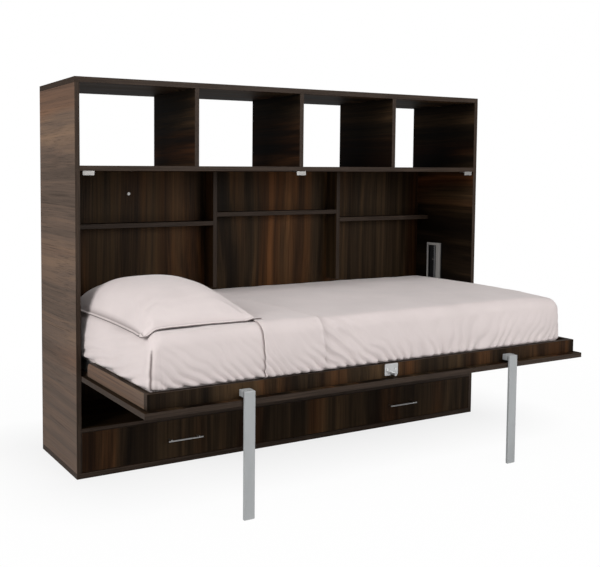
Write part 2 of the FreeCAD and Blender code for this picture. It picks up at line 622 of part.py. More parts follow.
def cloth_layer(number, left, hem):
    """One layer of cloth over the mattress, from a left edge on and down to a hem."""
    inside = mattress_form(number * SHEET_LAYER + SOFT_GAP)
    outside = mattress_form((number + 1) * SHEET_LAYER)
    reach = CABINET_WIDTH
    kept = block(left, reach, 0.0, -reach, hem, CABINET_HEIGHT)
    return outside.cut(inside).common(kept)


def save_bedding():
    """Mattress, the fitted sheet over all of it, and the top sheet that starts below the pillow."""
    save("mattress", mattress_form(0.0))
    hem = MATTRESS_LOW + MATTRESS_FOOT_RADIUS + SHEET_THICKNESS
    save("fitted_sheet", cloth_layer(0, -CABINET_WIDTH, hem))
    save("top_sheet", cloth_layer(1, TOP_SHEET_START_X, hem + TOP_SHEET_HEM_RISE))


def pillow_outline(share):
    """One closed lens across the pillow at a share of its half length from the middle."""
    y = PILLOW_BACK_Y - PILLOW_LENGTH / 2 * (1 + share)
    half = PILLOW_WIDTH / 2 * (1 - PILLOW_WAIST_SHARE * (1 - share ** 2))
    lift = SOFT_GAP + (PILLOW_THICKNESS - PILLOW_RIM) * (1 - share ** 2) ** PILLOW_SWELL_SHARE
    low = PILLOW_LOW
    rim = low + PILLOW_RIM

    def at(x, z):
        return Vector(PILLOW_CENTRE_X + x, y, z)

    return Part.Wire([
        Part.makeLine(at(-half, low), at(half, low)),
        Part.makeLine(at(half, low), at(half, rim)),
        Part.Arc(at(half, rim), at(0, rim + lift), at(-half, rim)).toShape(),
        Part.makeLine(at(-half, rim), at(-half, low)),
    ])


def save_pillow():
    """One pillow, flat where it lies and crowned above, at the left end."""
    outlines = [pillow_outline(share) for share in PILLOW_STATION_SHARES]
    save("pillow", Part.makeLoft(outlines, True, True))


def link_plate(x0, x1, first, second, radius_first, radius_second):
    """A flat link between two round ends, in a plane of constant X."""
    low = min(x0, x1)
    thickness = abs(x1 - x0)
    run = Vector(0, second[0] - first[0], second[1] - first[1])
    length = run.Length
    run.normalize()
    across = Vector(0, -run.z, run.y)
    lean = math.asin((radius_first - radius_second) / length)
    corners = []
    for centre, radius, side in (
        (first, radius_first, 1),
        (second, radius_second, 1),
        (second, radius_second, -1),
        (first, radius_first, -1),
    ):
        middle = Vector(low, centre[0], centre[1])
        normal = across * (side * math.cos(lean)) + run * math.sin(lean)
        corners.append(middle + normal * radius)
    web = Part.Face(Part.makePolygon(corners + corners[:1])).extrude(Vector(thickness, 0, 0))
    ends = [bar_along_x(x0, x1, first[0], first[1], 2 * radius_first)]
    ends.append(bar_along_x(x0, x1, second[0], second[1], 2 * radius_second))
    return fuse(web, *ends)


def save_arms():
    """A steel plate each side, from the bed rail back round the pivot to the lift pin."""
    pivot = (PIVOT_Y, PIVOT_Z)
    tip = (LIFT_PIN_Y, LIFT_PIN_Z)
    low = FACE_TOP + ARM_FOOT_BASE_GAP
    high = RAIL_TOP - ARM_FOOT_TOP_GAP
    for name, side in SIDES.items():
        inner = side * ARM_INNER_HALF
        outer = side * RAIL_INNER_HALF
        lever = link_plate(inner, outer, pivot, tip, ARM_HUB_RADIUS, ARM_TIP_RADIUS)
        foot = block(inner, outer, PIVOT_Y - ARM_FOOT_REACH, PIVOT_Y + ARM_FOOT_TAIL, low, high)
        neck = block(inner, outer, PIVOT_Y - ARM_HUB_RADIUS, PIVOT_Y + ARM_HUB_RADIUS, low, PIVOT_Z)
        pin_end = side * (YOKE_OUTER_X - LIFT_PIN_TIP_GAP)
        pin = bar_along_x(outer, pin_end, LIFT_PIN_Y, LIFT_PIN_Z, LIFT_PIN_DIAMETER)
        hole_size = PIVOT_PIN_DIAMETER + 2 * PIVOT_CLEARANCE
        hole = bar_along_x(inner - side * OVERRUN, outer + side * OVERRUN, PIVOT_Y, PIVOT_Z, hole_size)
        save(name + "_pivot_arm", fuse(foot, neck, lever, pin).cut(hole))


def pivot_screw_sites():
    """Y and Z of the four screws in each pivot bracket."""
    across = PIVOT_PLATE_WIDTH / 2 - PIVOT_SCREW_INSET
    up = PIVOT_PLATE_HEIGHT / 2 - PIVOT_SCREW_INSET
    return [(PIVOT_Y + sy * across, PIVOT_Z + sz * up) for sy in (-1, 1) for sz in (-1, 1)]


def pivot_screws(side, grow):
    """The screws that hold one pivot bracket to its side panel."""
    face = INNER_HALF - PIVOT_PLATE_THICKNESS
    screws = []
    for y, z in pivot_screw_sites():
        top = side * (face - PIVOT_SCREW_HEAD_HEIGHT)
        head = bar_along_x(top, side * face, y, z, PIVOT_SCREW_HEAD_DIAMETER)
        end = side * (face + PIVOT_SCREW_LENGTH + grow)
        shank = bar_along_x(side * face, end, y, z, PIVOT_SCREW_DIAMETER + 2 * grow)
        screws.append(fuse(head, shank))
    return screws


def save_pivots():
    """Bracket, pin and boss on each side panel, with a clip on the end of the pin."""
    clips = []
    for name, side in SIDES.items():
        back = PIVOT_Y + PIVOT_PLATE_WIDTH / 2
        front = PIVOT_Y - PIVOT_PLATE_WIDTH / 2
        low = PIVOT_Z - PIVOT_PLATE_HEIGHT / 2
        face = side * (INNER_HALF - PIVOT_PLATE_THICKNESS)
        plate = block(face, side * INNER_HALF, back, front, low, low + PIVOT_PLATE_HEIGHT)
        plate = rounded_along(plate, RIGHTWARD, PIVOT_PLATE_CORNER)
        boss_end = side * (RAIL_INNER_HALF + PIVOT_SIDE_PLAY)
        boss = bar_along_x(face, boss_end, PIVOT_Y, PIVOT_Z, PIVOT_BOSS_DIAMETER)
        clip_outer = side * (ARM_INNER_HALF - PIVOT_SIDE_PLAY)
        clip_inner = clip_outer - side * PIVOT_CLIP_THICKNESS
        pin = bar_along_x(face, clip_inner, PIVOT_Y, PIVOT_Z, PIVOT_PIN_DIAMETER)
        bracket = fuse(plate, boss, pin).cut(pivot_screws(side, DOWEL_CLEARANCE))
        save(name + "_pivot_bracket", bracket)
        clip = bar_along_x(clip_inner, clip_outer, PIVOT_Y, PIVOT_Z, PIVOT_CLIP_DIAMETER)
        hole_size = PIVOT_PIN_DIAMETER + 2 * DOWEL_CLEARANCE
        clips.append(clip.cut(bar_along_x(clip_inner, clip_outer, PIVOT_Y, PIVOT_Z, hole_size)))
    save("pivot_clips", *clips)


def lift_bolts(side, grow):
    """The bolts that hold one lift box to its side panel."""
    seat = INNER_HALF - LIFT_BOX_SHEET
    y = LIFT_ROD_Y + LIFT_BOLT_REAR_SHIFT
    bolts = []
    for z in (LIFT_BOX_TOP - LIFT_BOLT_END_INSET, LIFT_BOX_BOTTOM + LIFT_BOLT_END_INSET):
        head = bar_along_x(side * (seat - LIFT_BOLT_HEIGHT), side * seat, y, z, LIFT_BOLT_DIAMETER)
        end = side * (seat + LIFT_BOLT_SHANK_LENGTH + grow)
        bolts.append(fuse(head, bar_along_x(side * seat, end, y, z, LIFT_BOLT_SHANK_DIAMETER + 2 * grow)))
    return bolts


def save_lift_boxes():
    """A shallow steel box on each side wall with one long window, a stiffening flange and a guide rod."""
    rods = []
    for name, side in SIDES.items():
        front = LIFT_BOX_FRONT_Y
        back = LIFT_BOX_BACK_Y
        inner = side * LIFT_BOX_HALF
        outer = side * INNER_HALF
        sheet = LIFT_BOX_SHEET
        shell = block(inner, outer, front, back, LIFT_BOX_BOTTOM, LIFT_BOX_TOP)
        room_low = LIFT_BOX_BOTTOM + sheet
        room_high = LIFT_BOX_TOP - sheet
        room_inner = inner + side * sheet
        room_outer = outer - side * sheet
        room = block(room_inner, room_outer, front + sheet, back - sheet, room_low, room_high)
        window = block(
            inner - side * OVERRUN, inner + side * (sheet + OVERRUN),
            front + LIFT_WINDOW_BAR, back - LIFT_WINDOW_BAR,
            LIFT_BOX_BOTTOM + LIFT_WINDOW_CAP, LIFT_BOX_TOP - LIFT_WINDOW_CAP,
        )
        flange_inner = side * (YOKE_OUTER_X + LIFT_FLANGE_GAP)
        flange_back = front + sheet + LIFT_FLANGE_WIDTH
        flange = block(flange_inner, flange_inner + side * sheet, front, flange_back, room_low, room_high)
        shell = fuse(shell.cut([room, window]), flange)
        save(name + "_lift_box", shell.cut(lift_bolts(side, DOWEL_CLEARANCE)))
        rod_foot = Vector(side * LIFT_ROD_X, LIFT_ROD_Y, room_low)
        rod = bar(rod_foot, UPWARD, room_high - room_low, LIFT_ROD_DIAMETER)
        rods.append(rod)
    save("lift_rods", *rods)


def save_cabinet_screws():
    """Screws of the strikers, the pivot brackets and the lift boxes, as one group."""
    screws = striker_screws(0.0)
    for side in SIDES.values():
        screws += pivot_screws(side, 0.0)
        screws += lift_bolts(side, 0.0)
    save("cabinet_screws", *screws)


def save_lift_sliders():
    """A slotted plate and its guide block, moved up and down the rod by the lift pin."""
    slot_front = LIFT_PIN_Y - LIFT_PIN_DIAMETER / 2 - LIFT_SLOT_END_GAP
    slot_back = LIFT_FAR_Y + LIFT_PIN_DIAMETER / 2 + LIFT_SLOT_END_GAP
    plate_front = LIFT_BOX_FRONT_Y + LIFT_BOX_SHEET + LIFT_YOKE_SIDE_GAP
    plate_back = LIFT_BOX_BACK_Y - LIFT_BOX_SHEET - LIFT_YOKE_SIDE_GAP
    block_outer = INNER_HALF - LIFT_BOX_SHEET - LIFT_YOKE_SIDE_GAP
    low = LIFT_PIN_Z - LIFT_YOKE_HALF
    high = LIFT_PIN_Z + LIFT_YOKE_HALF
    half_neck = LIFT_NECK_WIDTH / 2
    for name, side in SIDES.items():
        inner = side * YOKE_INNER_X
        outer = side * YOKE_OUTER_X
        plate = block(inner, outer, plate_front, plate_back, low, high)
        neck = block(outer, side * block_outer, LIFT_ROD_Y - half_neck, LIFT_ROD_Y + half_neck, low, high)
        slot = block(
            inner - side * OVERRUN, outer, slot_front, slot_back,
            LIFT_PIN_Z - LIFT_SLOT_HALF, LIFT_PIN_Z + LIFT_SLOT_HALF,
        )
        hole_size = LIFT_ROD_DIAMETER + 2 * LIFT_ROD_CLEARANCE
        hole_foot = Vector(side * LIFT_ROD_X, LIFT_ROD_Y, low - OVERRUN)
        hole = bar(hole_foot, UPWARD, high - low + 2 * OVERRUN, hole_size)
        save(name + "_lift_slider", fuse(plate, neck).cut([slot, hole]))


def biarc(start, start_run, end, end_run):
    """Two arcs that leave one point along its direction and reach the next along its own."""
    chord = end - start
    runs = start_run + end_run
    a = runs.dot(runs) - 4
    b = -2 * chord.dot(runs)
    c = chord.dot(chord)
    reach = (-b - math.sqrt(b * b - 4 * a * c)) / (2 * a)
    if reach < 0:
        reach = (-b + math.sqrt(b * b - 4 * a * c)) / (2 * a)
    first = start + start_run * reach
    second = end - end_run * reach
    joint = (first + second) * (1 / 2)
    return [arc_in_corner(start, first, joint, reach), arc_in_corner(joint, second, end, reach)]


def arc_in_corner(start, corner, end, reach):
    """The arc that touches both sides of a corner of equal sides."""
    weight = (end - start).Length / (2 * reach)
    middle = (start + corner * (2 * weight) + end) * (1 / (2 + 2 * weight))
    return Part.Arc(start, middle, end).toShape()


def coil(centre_x, centre_y, low, high):
    """One compression spring round an upright rod, as an unbroken wire."""
    radius = SPRING_MEAN_DIAMETER / 2
    rise = (high - low - SPRING_WIRE) / SPRING_TURNS
    climb = rise / (2 * math.pi)
    slope = math.sqrt(radius ** 2 + climb ** 2)
    steps = 4 * SPRING_TURNS
    places = []
    for step in range(steps + 1):
        turn = math.pi / 2 * step
        up = low + SPRING_WIRE / 2 + climb * turn
        place = Vector(centre_x + radius * math.cos(turn), centre_y + radius * math.sin(turn), up)
        run = Vector(-radius * math.sin(turn), radius * math.cos(turn), climb) * (1 / slope)
        places.append((place, run))
    arcs = []
    for (start, start_run), (end, end_run) in zip(places, places[1:]):
        arcs += biarc(start, start_run, end, end_run)
    path = Part.Wire(arcs)
    ring = Part.Wire(Part.makeCircle(SPRING_WIRE / 2, places[0][0], places[0][1]))
    return path.makePipeShell([ring], True, False)


def save_lift_springs():
    """A coil spring above each slider, pressed against the top of its box."""
    low = LIFT_PIN_Z + LIFT_YOKE_HALF + SPRING_SEAT_GAP
    high = LIFT_BOX_TOP - LIFT_BOX_SHEET - SPRING_SEAT_GAP
    for name, side in SIDES.items():
        save(name + "_lift_spring", coil(side * LIFT_ROD_X, LIFT_ROD_Y, low, high))


def save_legs():
    """A folded steel bracket with its pin on the front rail, and the flat leg that folds on it."""
    brackets = []
    for name, side in SIDES.items():
        x = side * LEG_OFFSET + LEG_SHIFT
        half = LEG_WIDTH / 2
        inner_half = half - LEG_BRACKET_SHEET
        low = LEG_PIVOT_Z - LEG_BRACKET_DROP
        high = LEG_PIVOT_Z + LEG_BRACKET_RISE
        tab = block(x - half, x + half, RAIL_FRONT_Y, LEG_BRACKET_FRONT_Y, low, high)
        tab = rounded_along(tab, FORWARD, LEG_BRACKET_CORNER)
        room = block(
            x - inner_half, x + inner_half,
            RAIL_FRONT_Y + OVERRUN, LEG_BRACKET_FRONT_Y + LEG_BRACKET_SHEET,
            low - OVERRUN, high - LEG_BRACKET_SHEET,
        )
        axis_start = Vector(x, LEG_BRACKET_FRONT_Y, LEG_PIVOT_Z)
        boss_length = LEG_BRACKET_FRONT_Y - LEG_BACK_Y - LEG_BOSS_GAP
        boss = bar(axis_start, FORWARD, boss_length, LEG_BOSS_DIAMETER)
        pin_length = LEG_BRACKET_FRONT_Y - LEG_FRONT_Y - LEG_PIN_RECESS
        pin = bar(axis_start, FORWARD, pin_length, LEG_PIN_DIAMETER)
        brackets.append(fuse(tab.cut(room), boss, pin))
        leg = block(x - half, x + half, LEG_BACK_Y, LEG_FRONT_Y, 0.0, LEG_TOP)
        hole_start = Vector(x, LEG_BACK_Y + OVERRUN, LEG_PIVOT_Z)
        hole_size = LEG_PIN_DIAMETER + 2 * LEG_PIN_CLEARANCE
        hole = bar(hole_start, FORWARD, LEG_THICKNESS + 2 * OVERRUN, hole_size)
        save(name + "_leg", leg.cut(hole))
    save("leg_brackets", *brackets)


def latch_screws(grow):
    """The two screws of the latch plate."""
    z = LATCH_BOLT_Z + LATCH_SCREW_ABOVE_BOLT
    screws = []
    for side in SIDES.values():
        x = side * LATCH_SCREW_SPACING / 2
        head_start = Vector(x, LATCH_PLATE_FRONT_Y, z)
        head = bar(head_start, FORWARD, LATCH_SCREW_HEAD_HEIGHT, LATCH_SCREW_HEAD_DIAMETER)
        shank = bar(head_start, -FORWARD, LATCH_SCREW_LENGTH + grow, LATCH_SCREW_DIAMETER + 2 * grow)
        screws.append(fuse(head, shank))
    return screws


def latch_bore():
    """The hole the latch bolt slides in, through the plate and the front rail."""
    start = Vector(0, RAIL_INNER_Y + OVERRUN, LATCH_BOLT_Z)
    length = RAIL_THICKNESS + LATCH_PLATE_THICKNESS + 2 * OVERRUN
    return bar(start, FORWARD, length, LATCH_BOLT_DIAMETER + 2 * LATCH_BOLT_CLEARANCE)


def latch_holes():
    """Everything cut out of the front rail for the latch."""
    return [latch_bore()] + latch_screws(DOWEL_CLEARANCE)


def save_latch():
    """Plate, screws and the sliding bolt at the middle of the front rail."""
    half = LATCH_PLATE_WIDTH / 2
    high = LATCH_PLATE_LOW + LATCH_PLATE_HEIGHT
    plate = block(-half, half, RAIL_FRONT_Y, LATCH_PLATE_FRONT_Y, LATCH_PLATE_LOW, high)
    plate = rounded_along(plate, FORWARD, LATCH_PLATE_CORNER)
    save("latch_plate", plate.cut(latch_holes()))
    save("latch_screws", *latch_screws(0.0))
    start = Vector(0, RAIL_INNER_Y, LATCH_BOLT_Z)
    body = bar(start, FORWARD, RAIL_INNER_Y - LATCH_BOLT_TIP_Y - LATCH_BOLT_BEVEL, LATCH_BOLT_DIAMETER)
    nose_start = Vector(0, LATCH_BOLT_TIP_Y + LATCH_BOLT_BEVEL, LATCH_BOLT_Z)
    radius = LATCH_BOLT_DIAMETER / 2
    nose = Part.makeCone(radius, radius - LATCH_BOLT_BEVEL, LATCH_BOLT_BEVEL, nose_start, FORWARD)
    save("latch_bolt", fuse(body, nose))


def handle_screws(grow):
    """Two screws through the drawer front into each handle."""
    inside = DRAWER_BOX_FRONT_Y
    length = DRAWER_FRONT_THICKNESS + HANDLE_STANDOFF / 2
    screws = []
    for side in SIDES.values():
        for end in SIDES.values():
            x = side * HANDLE_OFFSET + end * HANDLE_POST_SPACING / 2
            start = Vector(x, inside, HANDLE_Z)
            shank = bar(start, FORWARD, length + grow, HANDLE_SCREW_DIAMETER + 2 * grow)
            head = bar(start, -FORWARD, HANDLE_SCREW_HEAD_HEIGHT, HANDLE_SCREW_HEAD_DIAMETER)
            screws.append(fuse(shank, head))
    return screws


def save_drawer():
    """The wide drawer: front, box, two bar handles and their screws."""
    front_half = INNER_HALF - DRAWER_FRONT_GAP
    holes = handle_screws(DOWEL_CLEARANCE)
    face = (DRAWER_FACE_Y, DRAWER_BOX_FRONT_Y)
    front = block(-front_half, front_half, *face, DRAWER_FRONT_LOW, DRAWER_FRONT_TOP)
    save("drawer_front", front.cut(holes))
    inner_half = DRAWER_BOX_HALF - DRAWER_SIDE_THICKNESS
    back_front_y = DRAWER_BOX_BACK_Y - DRAWER_SIDE_THICKNESS
    panels = []
    for side in SIDES.values():
        inner = side * inner_half
        outer = side * DRAWER_BOX_HALF
        depth = (DRAWER_BOX_FRONT_Y, DRAWER_BOX_BACK_Y)
        panels.append(block(inner, outer, *depth, DRAWER_BOX_LOW, DRAWER_BOX_TOP))
    save("drawer_sides", *panels)
    back = block(-inner_half, inner_half, back_front_y, DRAWER_BOX_BACK_Y, DRAWER_BOX_LOW, DRAWER_BOX_TOP)
    save("drawer_back", back)
    floor_low = DRAWER_BOX_LOW + DRAWER_BOTTOM_RISE
    base = block(-inner_half, inner_half, DRAWER_BOX_FRONT_Y, back_front_y, floor_low, DRAWER_BOTTOM_TOP)
    save("drawer_bottom", base)
    for name, side in SIDES.items():
        x = side * HANDLE_OFFSET
        bar_back = DRAWER_FACE_Y - HANDLE_STANDOFF
        bar_front = bar_back - HANDLE_BAR
        half = HANDLE_LENGTH / 2
        bar_low = HANDLE_Z - HANDLE_BAR / 2
        grip = block(x - half, x + half, bar_back, bar_front, bar_low, bar_low + HANDLE_BAR)
        posts = []
        for end in SIDES.values():
            start = Vector(x + end * HANDLE_POST_SPACING / 2, DRAWER_FACE_Y, HANDLE_Z)
            posts.append(bar(start, FORWARD, HANDLE_STANDOFF, HANDLE_POST_DIAMETER))
        save(name + "_handle", fuse(grip, *posts).cut(holes))
    save("handle_screws", *handle_screws(0.0))


def save_runners():
    """A channel on each side panel and the bar on the drawer that slides inside it."""
    half = RUNNER_HEIGHT / 2
    sheet = RUNNER_SHEET
    low = RUNNER_MIDDLE_Z - half
    high = RUNNER_MIDDLE_Z + half
    front = DRAWER_BOX_FRONT_Y + RUNNER_SETBACK
    back = DRAWER_BOX_BACK_Y
    channel_inner = DRAWER_BOX_HALF + RUNNER_CLEARANCE
    channels = []
    bars = []
    for side in SIDES.values():
        outer = block(side * channel_inner, side * INNER_HALF, front, back, low, high)
        room_side = side * (INNER_HALF - sheet)
        room_open = side * (channel_inner - OVERRUN)
        room = block(room_open, room_side, front - OVERRUN, back + OVERRUN, low + sheet, high - sheet)
        channels.append(outer.cut(room))
        bar_low = low + sheet + RUNNER_CLEARANCE
        bar_high = high - sheet - RUNNER_CLEARANCE
        bar_outer = side * (INNER_HALF - sheet - RUNNER_CLEARANCE)
        bars.append(block(side * DRAWER_BOX_HALF, bar_outer, front, back, bar_low, bar_high))
    save("runner_channels", *channels)
    save("runner_bars", *bars)


def main():
    """Write every node of the wall bed."""
    os.makedirs("parts", exist_ok=True)
    save_cabinet()
    save_shelves()
    save_wall_fixing()
    save_strikers()
    save_face_panels()
    save_bed_rails()
    save_deck()
    save_bedding()
    save_pillow()
    save_arms()
    save_pivots()
    save_lift_boxes()
    save_cabinet_screws()
    save_lift_sliders()
    save_lift_springs()
    save_legs()
    save_latch()
    save_drawer()
    save_runners()


main()
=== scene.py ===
# Looks of a side-folding wall bed: dark walnut cabinet, made-up mattress, steel legs and lift gear.
# Everything is in metres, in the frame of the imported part: X along the bed, Y into the wall, Z up.

import json
import logging
import math
from dataclasses import dataclass
from enum import Enum

import bpy
import numpy as np
import numpy.typing as npt
from mathutils import Euler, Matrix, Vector

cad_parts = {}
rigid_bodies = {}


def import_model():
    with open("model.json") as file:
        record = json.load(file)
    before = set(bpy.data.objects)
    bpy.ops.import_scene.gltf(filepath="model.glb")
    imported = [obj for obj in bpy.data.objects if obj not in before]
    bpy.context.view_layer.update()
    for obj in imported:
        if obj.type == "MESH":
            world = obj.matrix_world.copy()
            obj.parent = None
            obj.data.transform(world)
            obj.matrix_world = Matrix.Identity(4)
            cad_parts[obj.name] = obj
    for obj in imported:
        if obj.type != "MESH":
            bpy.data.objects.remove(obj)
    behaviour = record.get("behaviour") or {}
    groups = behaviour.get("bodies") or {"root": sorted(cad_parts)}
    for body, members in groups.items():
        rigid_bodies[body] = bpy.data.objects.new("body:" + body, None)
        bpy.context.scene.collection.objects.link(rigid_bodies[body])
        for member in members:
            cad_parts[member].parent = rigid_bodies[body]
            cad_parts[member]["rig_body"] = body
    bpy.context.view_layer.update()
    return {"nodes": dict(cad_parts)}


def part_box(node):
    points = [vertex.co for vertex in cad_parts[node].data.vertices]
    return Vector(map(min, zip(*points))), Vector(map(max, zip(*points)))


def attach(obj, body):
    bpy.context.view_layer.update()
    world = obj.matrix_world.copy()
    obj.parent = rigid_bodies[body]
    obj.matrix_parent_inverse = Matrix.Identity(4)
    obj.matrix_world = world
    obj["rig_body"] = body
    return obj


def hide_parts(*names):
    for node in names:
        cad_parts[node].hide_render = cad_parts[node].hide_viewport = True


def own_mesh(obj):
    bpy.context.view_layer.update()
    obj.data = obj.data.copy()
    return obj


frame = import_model()

Points = npt.NDArray[np.float64]
Faces = npt.NDArray[np.int64]
Triple = tuple[float, float, float]
Colour = tuple[float, float, float, float]
Socket = bpy.types.NodeSocket

MM = 0.001
FULL_TURN = 2 * math.pi
QUARTER_TURN = math.pi / 2
NO_SHIFT: Triple = (0.0, 0.0, 0.0)
WHITE: Colour = (1, 1, 1, 1)

log = logging.getLogger("wall_bed")


class Axis(Enum):
    """A direction of the part's frame, as its place in a point."""

    X = 0
    Y = 1
    Z = 2


# Mesh building


def grid_faces(rows: int, columns: int, closed: bool = False, first: int = 0) -> Faces:
    """Quads of a grid whose points run row by row.

    Args:
        rows: How many rows of points there are.
        columns: How many points each row has.
        closed: Whether the last column joins the first one.
        first: Number of the grid's first point in its mesh.

    Returns:
        Four point numbers for each quad.
    """
    row = np.arange(rows - 1)[:, None] * columns
    left = np.arange(columns if closed else columns - 1)[None, :]
    right = (left + 1) % columns
    quads = np.stack([row + left, row + right, row + columns + right, row + columns + left], axis=-1)
    return quads.reshape(-1, 4) + first


def new_piece(
    name: str,
    points: Points,
    faces: list[list[int]],
    materials: list[bpy.types.Material],
    smooth: bool = True,
    face_materials: npt.NDArray[np.int64] | None = None,
) -> bpy.types.Object:
    """Makes a mesh object at the origin from points and faces.

    Args:
        name: Name of the piece.
        points: One row of three coordinates for each point.
        faces: Point numbers of each face.
        materials: Materials in the order of their slots.
        smooth: Whether faces are shaded as one smooth surface.
        face_materials: Slot number for each face, or None for the first slot.

    Returns:
        The new object.
    """
    mesh = bpy.data.meshes.new(name)
    mesh.from_pydata(points.tolist(), [], faces)
    for material in materials:
        mesh.materials.append(material)
    mesh.polygons.foreach_set("use_smooth", np.full(len(faces), smooth))
    if face_materials is not None:
        mesh.polygons.foreach_set("material_index", face_materials.astype(np.int32))
    mesh.update()
    piece = bpy.data.objects.new(name, mesh)
    bpy.context.scene.collection.objects.link(piece)
    return piece


def set_uv(piece: bpy.types.Object, uv: Points) -> None:
    """Gives each point of a piece its place on the flat cloth.

    Args:
        piece: The piece that gets the map.
        uv: Two coordinates for each point, in metres of cloth.
    """
    mesh = piece.data
    corners = np.zeros(len(mesh.loops), np.int32)
    mesh.loops.foreach_get("vertex_index", corners)
    layer = mesh.uv_layers.new(name="cloth")
    layer.uv.foreach_set("vector", uv[corners].astype(np.float32).ravel())


def set_shade(piece: bpy.types.Object, values: Points) -> None:
    """Stores how much painted shade each point of a piece gets, from 0 to 1, in its seams, creases and
    contact lines.
    """
    attribute = piece.data.attributes.new("crease_shade", "FLOAT", "POINT")
    attribute.data.foreach_set("value", values.astype(np.float32).ravel())


def hand_over(piece: bpy.types.Object, body: str, slot: str, *nodes: str) -> None:
    """Puts a piece on its body and hides the nodes that it stands for.

    Args:
        piece: The finished piece.
        body: The CAD body that it moves with.
        slot: The record's material slot; not used.
        nodes: CAD nodes that it replaces.
    """
    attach(piece, body)
    if nodes:
        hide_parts(*nodes)
    log.info("%s rides on %s", piece.name, body)


def body_of(node: str) -> str:
    """The body that a CAD node moves with."""
    return frame["nodes"][node]["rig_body"]


# Finishes


def even(scale: float) -> Triple:
    """The same scale in every direction."""
    return (scale, scale, scale)


def drawn_out(grain: Axis, across: float, along: float) -> Triple:
    """Scales that draw a pattern out along the grain."""
    return tuple(along if axis is grain else across for axis in Axis)


def shaded(colour: Colour, share: float) -> Colour:
    """A colour with its three channels multiplied by a share."""
    return (*(channel * share for channel in colour[:3]), 1.0)


class Graph:
    """The node tree of a material or world, with short calls that add a node and return its output."""

    def __init__(self, name: str, world: bool = False) -> None:
        """Starts an empty tree.

        Args:
            name: Name of the material or world.
            world: Whether it is a world.
        """
        self.holder = (bpy.data.worlds if world else bpy.data.materials).new(name)
        self.holder.use_nodes = True
        self.tree = self.holder.node_tree
        self.tree.nodes.clear()

    def add(
        self, kind: str, inputs: dict[str | int, object] | None = None, **settings: object
    ) -> bpy.types.Node:
        """Adds a node.

        Args:
            kind: Blender's name for the node.
            inputs: A value or another node's output for each input.
            settings: Properties of the node.

        Returns:
            The new node.
        """
        node = self.tree.nodes.new(kind)
        for key, value in settings.items():
            setattr(node, key, value)
        for key, value in (inputs or {}).items():
            if isinstance(value, bpy.types.NodeSocket):
                self.tree.links.new(value, node.inputs[key])
            else:
                node.inputs[key].default_value = value
        return node

    def place(self, scale: Triple, shift: Triple = NO_SHIFT) -> Socket:
        """Object coordinates, multiplied by a scale and then shifted."""
        point = self.add("ShaderNodeTexCoord").outputs["Object"]
        return self.add("ShaderNodeMapping", {"Vector": point, "Scale": scale, "Location": shift}).outputs[0]

    def noise(self, vector: Socket, detail: float, rough: float, scale: float = 1.0) -> Socket:
        """Noise from 0 to 1: detail is how many finer layers it has, and rough how strong they are."""
        inputs = {"Vector": vector, "Scale": scale, "Detail": detail, "Roughness": rough}
        return self.add("ShaderNodeTexNoise", inputs).outputs[0]

    def cloud(self, scale: Triple, detail: float, rough: float, shift: Triple = NO_SHIFT) -> Socket:
        """Noise over the object's own coordinates, which are stretched and shifted first."""
        return self.noise(self.place(scale, shift), detail, rough)

    def bent(self, place: Socket, wander: Socket, bend: float) -> Socket:
        """A place moved by a wandering vector times a bend."""
        by = self.add("ShaderNodeVectorMath", {0: wander, "Scale": bend}, operation="SCALE").outputs[0]
        return self.add("ShaderNodeVectorMath", {0: place, 1: by}, operation="ADD").outputs[0]

    def maths(self, operation: str, a: object, b: object = 0.0) -> Socket:
        """One sum of two values or outputs."""
        return self.add("ShaderNodeMath", {0: a, 1: b}, operation=operation).outputs[0]

    def span(self, value: object, low: float, high: float, to_low: float, to_high: float) -> Socket:
        """A value moved from the span low to high onto the span to_low to to_high, and held inside it."""
        inputs = {0: value, 1: low, 2: high, 3: to_low, 4: to_high}
        return self.add("ShaderNodeMapRange", inputs).outputs[0]

    def ramp(self, value: Socket, stops: list[tuple[float, Colour]]) -> Socket:
        """A colour read off a ramp.

        Args:
            value: Where on the ramp to read.
            stops: Places on the ramp and their colours.

        Returns:
            The colour.
        """
        node = self.add("ShaderNodeValToRGB", {0: value})
        elements = node.color_ramp.elements
        while len(elements) < len(stops):
            elements.new(0.5)
        for element, (position, colour) in zip(elements, stops):
            element.position = position
            element.color = colour
        return node.outputs[0]

    def mix(self, share: object, a: object, b: object, blend: str = "MIX") -> Socket:
        """Two colours mixed: share is how much of the second there is, and blend how they go together."""
        inputs = {0: share, 6: a, 7: b}
        return self.add("ShaderNodeMix", inputs, data_type="RGBA", blend_type=blend).outputs[2]

    def bump(self, height: Socket, strength: float, distance: float) -> Socket:
        """A normal bent by a height from 0 to 1, where 1 is as high as the distance."""
        inputs = {"Height": height, "Strength": strength, "Distance": distance}
        return self.add("ShaderNodeBump", inputs).outputs[0]

    def surface(self, **inputs: object) -> bpy.types.Material:
        """Ends the tree with a Principled shader.

        Args:
            inputs: The shader's inputs, with underscores for spaces.

        Returns:
            The finished material.
        """
        named = {key.replace("_", " "): value for key, value in inputs.items()}
        shader = self.add("ShaderNodeBsdfPrincipled", named)
        self.add("ShaderNodeOutputMaterial", {"Surface": shader.outputs[0]})
        return self.holder


